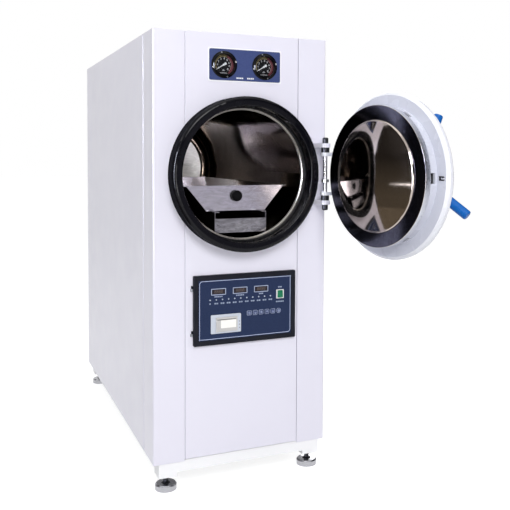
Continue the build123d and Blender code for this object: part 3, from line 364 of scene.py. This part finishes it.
def face_finish(name, coat, chosen):
    """A second finish for the faces of a node that pass a test on their middle and normal."""
    mesh = node[name].data
    mesh.materials.append(coat)
    for face in mesh.polygons:
        if chosen(face.center, face.normal):
            face.material_index = len(mesh.materials) - 1


def off_axis(point):
    return math.hypot(point.x, point.z - axis_z)


def facing(normal):
    """How far a face of the open door would face the back if the door were shut."""
    return (shut.to_3x3() @ normal).y


face_finish("chamber", bead_silver,
            lambda at, normal: at.y < front_y + BEAD_DEPTH and off_axis(at) < BEAD_R)
# The dish of the rear head gets the brighter steel: a painted highlight.
face_finish("chamber", head_steel,
            lambda at, normal: at.y > chamber_end - HEAD_DEPTH and off_axis(at) < HEAD_R)
face_finish("hinge_pin", dark_steel,
            lambda at, normal: abs(at.z - axis_z) > PIN_CAP or NUT_FROM < abs(at.z - axis_z) < NUT_TO)
# Above the pad the feet get dark steel: painted shade under the cabinet.
face_finish("levelling_feet", dark_steel, lambda at, normal: at.z > PAD_TOP)
face_finish("locking_collar", matt_black,
            lambda at, normal: abs(normal.y) < 0.3 and off_axis(at) > collar_edge - 0.004)
face_finish("door_head", band_steel,
            lambda at, normal: abs(facing(normal)) < 0.5 and off_axis(shut @ at) > DOOR_EDGE_R)
# The flat ring round the dome gets the nearly black steel: a painted dark reflection.
face_finish("door_head", ring_steel,
            lambda at, normal: abs(facing(normal)) > 0.9 and off_axis(shut @ at) > DOME_R)
# The face of the door's flat ring that faces the chamber when shut gets the darker grey: painted shade.
face_finish("door_cover", drum_grey, lambda at, normal: facing(normal) > 0.9)
# The walls of the safety pin's recess get dark steel: painted shade in the recess.
face_finish("door_cover", dark_steel,
            lambda at, normal: (shut @ at).y < POCKET_FACE and abs(at.z - axis_z) < POCKET_HALF
            and POCKET_FROM < (shut @ at).x < POCKET_TO)


# ---------------------------------------------------------------- tools for small pieces

def alone(piece):
    """Selects one piece and nothing else."""
    bpy.ops.object.select_all(action="DESELECT")
    piece.select_set(True)
    bpy.context.view_layer.objects.active = piece


def pick(piece, kind, test):
    """Edit mode with only the edges or faces selected that pass a test on place and direction."""
    mesh = piece.data
    for item in (*mesh.vertices, *mesh.edges, *mesh.polygons):
        item.select = False
    if kind == "edge":
        for edge in mesh.edges:
            one, other = (mesh.vertices[v].co for v in edge.vertices)
            edge.select = bool(test((one + other) / 2, (other - one).normalized()))
    else:
        for face in mesh.polygons:
            face.select = bool(test(face.center, face.normal))
    alone(piece)
    bpy.context.tool_settings.mesh_select_mode = (False, kind == "edge", kind == "face")
    bpy.ops.object.mode_set(mode="EDIT")


def leave():
    bpy.ops.object.mode_set(mode="OBJECT")


def close_up(piece):
    """Merges doubles and turns every face outwards."""
    pick(piece, "face", lambda at, normal: True)
    bpy.ops.mesh.remove_doubles(threshold=0.000001)
    bpy.ops.mesh.select_all(action="SELECT")
    bpy.ops.mesh.normals_make_consistent(inside=False)
    leave()


def block(low, high):
    """A box between two corners, as the start of a piece."""
    low, high = Vector(low), Vector(high)
    bpy.ops.object.select_all(action="DESELECT")
    bpy.ops.mesh.primitive_cube_add(size=1, location=(low + high) / 2)
    piece = bpy.context.object
    piece.scale = high - low
    bpy.ops.object.transform_apply(location=True, rotation=True, scale=True)
    return piece


def label(centre, width, height, face, corner=0.0004, thick=INK):
    """A thin plate with rounded corners on a surface that faces the front at y = face."""
    x, z = centre
    piece = block((x - width / 2, face - thick, z - height / 2),
                  (x + width / 2, face + SUNK, z + height / 2))
    pick(piece, "edge", lambda at, along: abs(along.y) > 0.9)
    bpy.ops.mesh.bevel(offset=corner, segments=3)
    leave()
    return piece


def words(centre, width, height, face, count, gap=0.0014):
    """A printed word as a row of small plain bars."""
    x, z = centre
    each = (width - gap * (count - 1)) / count
    first = x - width / 2 + each / 2
    return [label((first + n * (each + gap), z), each, height, face, 0.0003) for n in range(count)]


def outline(centre, width, height, line, face, corner, thick=INK):
    """A flat frame on a surface that faces the front: a rounded plate, inset and opened through."""
    piece = label(centre, width, height, face, corner, thick)
    pick(piece, "face", lambda at, normal: abs(normal.y) > 0.9)
    bpy.ops.mesh.inset(thickness=line)
    bpy.ops.mesh.bridge_edge_loops()
    leave()
    close_up(piece)
    return piece


def turn_about(centre, degrees):
    """Turns by degrees about a middle (x, z), anticlockwise seen from the front."""
    middle = Vector((centre[0], 0, centre[1]))
    turn = Matrix.Rotation(math.radians(-degrees), 4, "Y")
    return Matrix.Translation(middle) @ turn @ Matrix.Translation(-middle)


def around(centre, radius, degrees):
    """The place (x, z) at a radius and angle round a middle, anticlockwise from the right."""
    lean = math.radians(degrees)
    return centre[0] + radius * math.cos(lean), centre[1] + radius * math.sin(lean)


def band(centre, inner, outer, start, stop, face, thick=INK):
    """A flat ring sector round a middle: its end is a small plane, spun from start to stop degrees."""
    x, z = centre
    bpy.ops.object.select_all(action="DESELECT")
    bpy.ops.mesh.primitive_plane_add(
        size=1, location=(x + (inner + outer) / 2, face + (SUNK - thick) / 2, z))
    piece = bpy.context.object
    piece.scale = (outer - inner, SUNK + thick, 1)
    bpy.ops.object.transform_apply(location=True, rotation=True, scale=True)
    piece.data.transform(turn_about(centre, start))
    pick(piece, "face", lambda at, normal: True)
    bpy.ops.mesh.spin(steps=max(4, int(abs(stop - start) / 4)), angle=math.radians(abs(stop - start)),
                      center=(x, 0, z), axis=(0, -1 if stop < start else 1, 0))
    leave()
    close_up(piece)
    return piece


def tick(centre, inner, outer, width, degrees, face):
    """One scale mark, narrower towards the middle, turned to its place on the dial."""
    x, z = centre
    piece = block((x + inner, face - INK, z - width / 2), (x + outer, face + SUNK, z + width / 2))
    pick(piece, "face", lambda at, normal: normal.x < -0.9)
    bpy.ops.transform.resize(value=(1, 1, 0.6), center_override=(x + inner, face, z))
    leave()
    piece.data.transform(turn_about(centre, degrees))
    return piece


def numeral(body, centre, height, face):
    """A printed number, raised a little from its surface."""
    bpy.ops.object.select_all(action="DESELECT")
    bpy.ops.object.text_add()
    glyph = bpy.context.object
    glyph.data.body = body
    glyph.data.size = height * 1.42
    glyph.data.align_x, glyph.data.align_y = "CENTER", "CENTER"
    glyph.data.extrude = INK / 2
    glyph.data.resolution_u = 4
    bpy.ops.object.convert(target="MESH")
    glyph = bpy.context.object
    glyph.data.transform(Matrix.Translation((centre[0], face - INK / 2, centre[1]))
                         @ Matrix.Rotation(math.radians(90), 4, "X"))
    close_up(glyph)
    return glyph


def bar(middle, radius, length, turn, corners=24):
    """A round bar, turned from upright, as the start of a piece."""
    bpy.ops.object.select_all(action="DESELECT")
    bpy.ops.mesh.primitive_cylinder_add(vertices=corners, radius=radius, depth=length, location=middle,
                                        rotation=turn)
    piece = bpy.context.object
    bpy.ops.object.transform_apply(location=True, rotation=True, scale=True)
    return piece


def disc(centre, radius, back, front, ease, corners=24):
    """A round button facing the front with an eased front edge."""
    piece = bar((centre[0], (back + front) / 2, centre[1]), radius, back - front, (math.radians(90), 0, 0),
                corners)
    pick(piece, "edge", lambda at, along: abs(along.y) < 0.5 and at.y < front + 0.00001)
    bpy.ops.mesh.bevel(offset=ease, segments=2)
    leave()
    return piece


def screw(centre, back, radius, proud):
    """A small cap screw facing the front: an eased disc with a socket pushed into it."""
    piece = disc(centre, radius, back, back - proud, 0.0004, 18)
    pick(piece, "face", lambda at, normal: normal.y < -0.99)
    bpy.ops.mesh.inset(thickness=radius * 0.42)
    bpy.ops.mesh.extrude_region_move(TRANSFORM_OT_translate={"value": (0, proud * 0.5, 0)})
    leave()
    close_up(piece)
    return piece


def kept(pieces, name, coat, body):
    """Joins finished shapes into one piece with its name, finish and body."""
    bpy.ops.object.select_all(action="DESELECT")
    for piece in pieces:
        piece.select_set(True)
    bpy.context.view_layer.objects.active = pieces[0]
    if len(pieces) > 1:
        bpy.ops.object.join()
    piece = bpy.context.object
    piece.name = piece.data.name = name
    piece.data.materials.clear()
    piece.data.materials.append(coat)
    for face in piece.data.polygons:
        face.material_index = 0
    bpy.ops.object.shade_smooth_by_angle(angle=math.radians(35))
    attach(piece, body)


# ---------------------------------------------------------------- gauges

ZERO, PER_NUMBER, PER_MARK = 212, 32, 8     # degrees: the dial's zero, and the steps of numbers and marks
BAND = 0.0282, 0.0336                       # coloured bands: inner and outer radius, and their thickness
BAND_THICK = 0.00008
ARC = 0.0258, 0.0272                        # thin arcs inside the bands
MARKS_IN = 0.0284                           # scale marks: inner end, and the outer end of each kind
MARK_OUT, LONG_OUT, RED_OUT = 0.0312, 0.0328, 0.0322
NUMBER_R, NUMBER_H = 0.0198, 0.0062         # numbers: radius of their middles, and height
NUMBER_TICK = 0.0238, 0.0256                # the short tick outside each number
SCREW_R = 0.0396                            # pitch radius of the four flange screws
TAIL_R, BOSS_R = 0.0068, 0.0042             # the pointer's boss: distance from the pivot, and radius
WORD_H, SMALL_WORD_H = 0.0046, 0.0042       # height of printed words

dial_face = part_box("gauge_dials")[0].y
plate_low, plate_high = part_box("gauge_plate")
flange_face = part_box("gauge_cases")[0].y + 0.003
screw_seat = flange_face + 0.0012
side_screws, painted_shade_screws = [], []
for side in ("left", "right"):
    pivot = joint[f"needle_{side}_turn"]["pos_m"]
    middle = (pivot[0], pivot[2])
    kept([band(middle, *BAND, 214, 66, dial_face, BAND_THICK)],
         f"olive_band_{side}", ink_dark_olive, "cabinet")
    kept([band(middle, *BAND, 66, -58, dial_face, BAND_THICK)],
         f"red_band_{side}", ink_dark_red, "cabinet")
    kept([band(middle, *ARC, 206, 64, dial_face)]
         + [tick(middle, MARKS_IN, MARK_OUT if n % 4 else LONG_OUT, 0.0011, ZERO - PER_MARK * n,
                 dial_face) for n in range(18)],
         f"olive_scale_{side}", ink_olive, "cabinet")
    kept([band(middle, *ARC, 60, -46, dial_face)],
         f"red_scale_{side}", ink_red, "cabinet")
    kept([tick(middle, MARKS_IN, RED_OUT, 0.0009, 64 - PER_MARK * n, dial_face) for n in range(1, 14)],
         f"red_marks_{side}", ink_mid_red, "cabinet")
    marks = []
    for n in range(9):
        degrees = ZERO - PER_NUMBER * n
        marks += [numeral(str(n), around(middle, NUMBER_R, degrees), NUMBER_H, dial_face),
                  tick(middle, *NUMBER_TICK, 0.0008, degrees, dial_face)]
    marks += [label((middle[0], middle[1] - 0.0160), 0.0060, 0.0010, dial_face),
              label((middle[0], middle[1] - 0.0190), 0.0085, 0.0010, dial_face),
              *words((middle[0], middle[1] - 0.0262), 0.024, 0.0012, dial_face, 5, 0.0008)]
    kept(marks, f"dial_numbers_{side}", ink_white, "cabinet")
    side_screws += [screw(around(middle, SCREW_R, degrees), screw_seat, 0.0031, 0.0027)
                    for degrees in (14, 194)]
    # The pair above and below is smaller and in darker grey steel than the side pair: the darker grey is
    # painted shade.
    painted_shade_screws += [screw(around(middle, SCREW_R, degrees), screw_seat, 0.0022, 0.0019)
                   for degrees in (104, 284)]
    blade_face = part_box(f"gauge_needle_{side}")[0].y
    kept([disc(around(middle, TAIL_R, ZERO + 0.3 - 180), BOSS_R, blade_face + 0.0004, blade_face - 0.0005,
               0.0003)],
         f"needle_tail_{side}", ink_white, f"needle_{side}")

kept(side_screws, "gauge_screws_side", bright_steel, "cabinet")
# Darker grey steel for the pair above and below: painted shade.
kept(painted_shade_screws, "gauge_screws_top", grey_steel, "cabinet")

plate_mid = ((plate_low.x + plate_high.x) / 2, (plate_low.z + plate_high.z) / 2)
highlight_over = 0.009                            # the white rim, a painted highlight along the plate's edge, is this much larger than the plate
kept([outline(plate_mid, plate_high.x - plate_low.x + highlight_over, plate_high.z - plate_low.z + highlight_over,
              0.0042, front_y, 0.004, 0.0012)],
     "gauge_plate_rim", rim_white, "cabinet")
name_z = plate_low.z + 0.0085
kept([*words((plate_mid[0] - 0.0195, name_z), 0.023, WORD_H, plate_low.y, 4),
      *words((plate_mid[0] + 0.0175, name_z), 0.023, WORD_H, plate_low.y, 4)],
     "gauge_name_bars", ink_white, "cabinet")


# ---------------------------------------------------------------- control panel

fascia_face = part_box("control_fascia")[0].y

# Border line: two rounded corners, and two where the lines cross and run on past each other.
left, right, low, high = -0.151, 0.166, 0.483, 0.672
line, bend, past = 0.0017, 0.010, 0.0026
across, upwards = right + past - left - bend, high + past - low - bend
border = [
    label(((left + bend + right + past) / 2, high), across, line, fascia_face, 0.0001),
    label(((left - past + right - bend) / 2, low), across, line, fascia_face, 0.0001),
    label((left, (low - past + high - bend) / 2), line, upwards, fascia_face, 0.0001),
    label((right, (low + bend + high + past) / 2), line, upwards, fascia_face, 0.0001),
    band((left + bend, high - bend), bend - line / 2, bend + line / 2, 90, 180, fascia_face),
    band((right - bend, low + bend), bend - line / 2, bend + line / 2, 270, 360, fascia_face)]
kept(border, "panel_border_line", ink_pale, "control_door")

# Displays, each with a frame, digits and a name bar.
window_low, window_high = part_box("display_windows")
window_face, window_mid = window_low.y, (window_low.z + window_high.z) / 2
window_w = 0.050
window_pitch = (window_high.x - window_low.x - window_w) / 2
frames, digits, names = [], [], []
for n, (width, count) in enumerate(((0.027, 5), (0.027, 5), (0.015, 2))):
    at = (window_low.x + window_w / 2 + n * window_pitch, window_mid)
    frames.append(outline(at, window_w, window_high.z - window_low.z, 0.0021, window_face, 0.0015))
    digits.append(numeral("8888", at, 0.0105, window_face))
    names += words((at[0], window_low.z - 0.0055), width, SMALL_WORD_H, fascia_face, count)
kept(frames, "display_frames", ink_blue_white, "control_door")
kept(digits, "display_digits", digit_glow, "control_door")

# Name bars under the lamps, and over and under the switch.
LAMPS, LAMP_PITCH, UNDER_LAMP = 11, 0.021, 0.0122
lamp_low, lamp_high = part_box("indicator_lamps")
first_lamp, lamp_z = (lamp_high.z - lamp_low.z) / 2 + lamp_low.x, (lamp_low.z + lamp_high.z) / 2
for n in range(LAMPS):
    names += words((first_lamp + LAMP_PITCH * n, lamp_z - UNDER_LAMP), 0.0125 if n else 0.004, WORD_H,
                   fascia_face, 2 if n else 1)
switch_low, switch_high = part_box("switch_frame")
switch_x = (switch_low.x + switch_high.x) / 2
names += words((switch_x, switch_high.z + 0.0085), 0.013, WORD_H, fascia_face, 2)
names += words((switch_x, switch_low.z - 0.0105), 0.028, SMALL_WORD_H, fascia_face, 5)
kept(names, "panel_words", ink_grey_blue, "control_door")

# Keys: a printed frame round each, and a plain sign on it. A sign is a stack of bars (height, width);
# the last key has an open ring with a bar in its gap.
KEY_FRAME, KEY_LINE, KEY_BEND, ROUND_KEY_BEND = 0.0160, 0.0010, 0.0036, 0.0070
KEY_BARS = (((0.0022, 0.006), (-0.0022, 0.006)),
            ((0.0, 0.007), (-0.003, 0.005)),
            ((0.0026, 0.006), (0.0, 0.006), (-0.0026, 0.006)),
            ((0.0, 0.007), (0.003, 0.004)),
            ((-0.0024, 0.007), (0.0012, 0.003)))
rings = []
for n in range(1, 7):
    key_low, key_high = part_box(f"key_{n}")
    key_at = ((key_low.x + key_high.x) / 2, (key_low.z + key_high.z) / 2)
    rings.append(outline(key_at, KEY_FRAME, KEY_FRAME, KEY_LINE, fascia_face,
                         KEY_BEND if n < 6 else ROUND_KEY_BEND))
    if n < 6:
        sign = [label((key_at[0], key_at[1] + up), wide, 0.0014, key_low.y, 0.0003)
                for up, wide in KEY_BARS[n - 1]]
    else:
        sign = [band(key_at, 0.0020, 0.0034, 60, -240, key_low.y),
                label((key_at[0], key_at[1] + 0.0030), 0.0013, 0.0034, key_low.y, 0.0003)]
    kept(sign, f"key_sign_{n}", ink_blue_white, f"key_{n}")
kept(rings, "key_frames", ink_blue_white, "control_door")

# Printer: the paper behind the flap's window, and three buttons on the housing.
PAPER_AT, PAPER_W, PAPER_H = (-0.055, 0.5302), 0.052, 0.0262
BUTTON_X, BUTTON_ROWS, BUTTON_R = -0.0163, (0.535, 0.5245, 0.514), 0.0019
flap_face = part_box("printer_flap")[0].y
kept([label(PAPER_AT, PAPER_W, PAPER_H, flap_face, 0.0008)],
     "paper_window", paper_white, "printer_flap")
housing_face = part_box("control_bezel")[0].y - 0.0005
kept([disc((BUTTON_X, z), BUTTON_R, housing_face + 0.0006, housing_face - 0.0009, 0.0004)
      for z in BUTTON_ROWS],
     "printer_buttons", grey_steel, "control_door")


# ---------------------------------------------------------------- safety pin in the door's rim

PIN_Y = -0.7116                             # the pin's axis in the closed door
PIN_R, BUSH_R = 0.0037, 0.0045


def lying_pin(start_x, stop_x, radius, ease):
    """A round bar with eased ends, laid along x in the closed door's rim and swung open with it."""
    piece = bar(((start_x + stop_x) / 2, PIN_Y, axis_z), radius, stop_x - start_x,
                (0, math.radians(90), 0))
    pick(piece, "edge", lambda at, along: abs(along.x) < 0.5)
    bpy.ops.mesh.bevel(offset=ease, segments=3)
    leave()
    piece.data.transform(swing)
    return piece


kept([lying_pin(-0.2436, -0.2225, PIN_R, 0.0008)], "safety_pin", pin_steel, "door")
kept([lying_pin(-0.2278, -0.2217, BUSH_R, 0.0007)], "safety_pin_bush", dark_steel, "door")


# ---------------------------------------------------------------- camera, floor and light

camera_data = bpy.data.cameras.new("camera")
camera = bpy.data.objects.new("camera", camera_data)
bpy.context.scene.collection.objects.link(camera)
camera.matrix_world = (Matrix.Translation((-0.8492, -2.9478, 1.0876))
                       @ Matrix.Rotation(math.radians(-24.0), 4, "Z")
                       @ Matrix.Rotation(math.radians(87.7), 4, "X")
                       @ Matrix.Rotation(math.radians(0.3), 4, "Z"))
camera_data.sensor_width = 36
camera_data.lens = 52.76
camera_data.shift_x = -0.0729
camera_data.shift_y = -0.142
bpy.context.scene.camera = camera


def seen_rays(tree):
    """1 for what is looked at, mirrored or seen through glass, and 0 for the light that falls on the part."""
    rays = tree.nodes.new("ShaderNodeLightPath")
    total = rays.outputs["Is Camera Ray"]
    for kind in ("Is Glossy Ray", "Is Transmission Ray"):
        more = tree.nodes.new("ShaderNodeMath")
        more.operation = "MAXIMUM"
        tree.links.new(total, more.inputs[0])
        tree.links.new(rays.outputs[kind], more.inputs[1])
        total = more.outputs[0]
    return total


# The floor is grey to the light and nearly white to the eye, so that it runs into the backdrop.
bpy.ops.object.select_all(action="DESELECT")
bpy.ops.mesh.primitive_plane_add(size=60, location=(0, 0, cad_box[0].z))
floor = bpy.context.object
floor.name = "floor"
floor_paint = bpy.data.materials.new("floor_paint")
floor_paint.use_nodes = True
tree = floor_paint.node_tree
tree.nodes.clear()
level = tree.nodes.new("ShaderNodeMath")
level.operation = "MULTIPLY"
level.inputs[1].default_value = 0.78
tree.links.new(seen_rays(tree), level.inputs[0])
matt = tree.nodes.new("ShaderNodeBsdfDiffuse")
matt.inputs["Color"].default_value = (0.55, 0.55, 0.55, 1)
glow = tree.nodes.new("ShaderNodeEmission")
tree.links.new(level.outputs[0], glow.inputs["Strength"])
both = tree.nodes.new("ShaderNodeAddShader")
tree.links.new(matt.outputs[0], both.inputs[0])
tree.links.new(glow.outputs[0], both.inputs[1])
ground = tree.nodes.new("ShaderNodeOutputMaterial")
tree.links.new(both.outputs[0], ground.inputs["Surface"])
floor.data.materials.append(floor_paint)

# The world is a weak cool fill to the light and white to the eye.
world = bpy.data.worlds.new("studio")
bpy.context.scene.world = world
world.use_nodes = True
tree = world.node_tree
tree.nodes.clear()
fill = tree.nodes.new("ShaderNodeBackground")
fill.inputs["Color"].default_value = (0.97, 0.98, 1.0, 1)
fill.inputs["Strength"].default_value = 0.42
white = tree.nodes.new("ShaderNodeBackground")
white.inputs["Color"].default_value = (1, 1, 1, 1)
white.inputs["Strength"].default_value = 1.0
choice = tree.nodes.new("ShaderNodeMixShader")
tree.links.new(seen_rays(tree), choice.inputs["Fac"])
tree.links.new(fill.outputs[0], choice.inputs[1])
tree.links.new(white.outputs[0], choice.inputs[2])
sky = tree.nodes.new("ShaderNodeOutputWorld")
tree.links.new(choice.outputs[0], sky.inputs["Surface"])
bpy.context.scene.view_settings.view_transform = "Standard"


def softbox(name, at, aim, size, energy):
    """A rectangular lamp aimed at a point."""
    light = bpy.data.lights.new(name, "AREA")
    light.shape = "RECTANGLE"
    light.size, light.size_y = size
    light.energy = energy
    stand = bpy.data.objects.new(name, light)
    bpy.context.scene.collection.objects.link(stand)
    stand.location = at
    stand.rotation_euler = (Vector(aim) - Vector(at)).to_track_quat("-Z", "Y").to_euler()


def studio_card(name, at, size, turn, coat):
    """A large card beside the lamps that only polished and glossy parts see."""
    bpy.ops.object.select_all(action="DESELECT")
    bpy.ops.mesh.primitive_plane_add(size=1, location=at, rotation=turn)
    card = bpy.context.object
    card.name = name
    card.scale = (*size, 1)
    card.data.materials.append(coat)
    card.visible_camera = card.visible_diffuse = card.visible_transmission = card.visible_shadow = False


def card_cloth(name, bottom, top, low, high, along="Y"):
    """Cloth with its own light, from one tone at the bottom, or at one end, to another."""
    made, tree, shader = finish(name, (0.01, 0.01, 0.01), roughness=1.0, Specular_IOR_Level=0.0,
                                Emission_Strength=1.0)
    split = tree.nodes.new("ShaderNodeSeparateXYZ")
    coords = tree.nodes.new("ShaderNodeTexCoord")
    tree.links.new(coords.outputs["Object"], split.inputs["Vector"])
    tree.links.new(two_tones(tree, spread(tree, split.outputs[along], 0, 1, low, high), bottom, top),
                   shader.inputs["Emission Color"])
    return made


side_cloth = card_cloth("side_cloth", (0.115, 0.095, 0.066), (0.020, 0.016, 0.012), -0.35, 0.1)
back_cloth = card_cloth("back_cloth", (0.010, 0.010, 0.016), (0.014, 0.014, 0.020), -0.5, 0.5)
room_cloth = card_cloth("room_cloth", (0.022, 0.022, 0.028), (0.030, 0.030, 0.038), -0.5, 0.5)
front_cloth = card_cloth("front_cloth", (0.30, 0.29, 0.33), (0.62, 0.60, 0.68), -0.5, 0.3)
strip_cloth = card_cloth("strip_cloth", (10.0, 10.5, 12.5), (60.0, 63.0, 75.0), -0.5, 0.2)
streak_cloth = card_cloth("streak_cloth", (4.0, 4.0, 4.1), (0.10, 0.09, 0.06), -0.5, 0.45, "X")
floor_cloth = card_cloth("floor_cloth", (0.20, 0.165, 0.115), (0.20, 0.165, 0.115), -0.5, 0.5)

softbox("key_softbox", (-0.6, -4.8, 3.4), (-0.1, -0.6, 0.7), (2.2, 1.8), 124)
softbox("low_softbox", (-1.45, -4.7, 0.7), (0, -0.6, 0.4), (1.2, 1.2), 42)
softbox("fill_softbox", (-4.0, -0.4, 3.0), (0, 0.1, 1.9), (2.0, 1.6), 36)
softbox("top_softbox", (0.0, -0.6, 4.2), (0, 0, 0.6), (2.6, 2.6), 22)
softbox("rear_softbox", (2.9, 3.6, 3.0), (0, 0.1, 0.8), (2.4, 1.8), 70)

upright = math.radians(90)
studio_card("side_card", (-2.4, -0.3, 1.25), (1.8, 2.5), (upright, 0, upright), side_cloth)
studio_card("back_card", (-2.4, 1.7, 1.25), (2.2, 2.5), (upright, 0, upright), back_cloth)
studio_card("room_card", (0.0, -6.5, 3.2), (11.0, 6.6), (upright, 0, 0), room_cloth)
studio_card("right_card", (3.4, -2.6, 2.4), (8.0, 5.0), (upright, 0, upright), room_cloth)
studio_card("front_card", (1.65, -5.2, 0.85), (2.2, 1.5), (upright, 0, 0), front_cloth)
studio_card("strip_card", (-2.3, -1.50, 1.15), (0.40, 1.5), (upright, 0, upright), strip_cloth)
studio_card("streak_card", (-2.36, -0.62, 0.74), (1.1, 0.05), (upright, 0, upright), streak_cloth)
studio_card("floor_card", (-1.62, -0.6, 0.004), (1.6, 2.6), (0, 0, 0), floor_cloth)
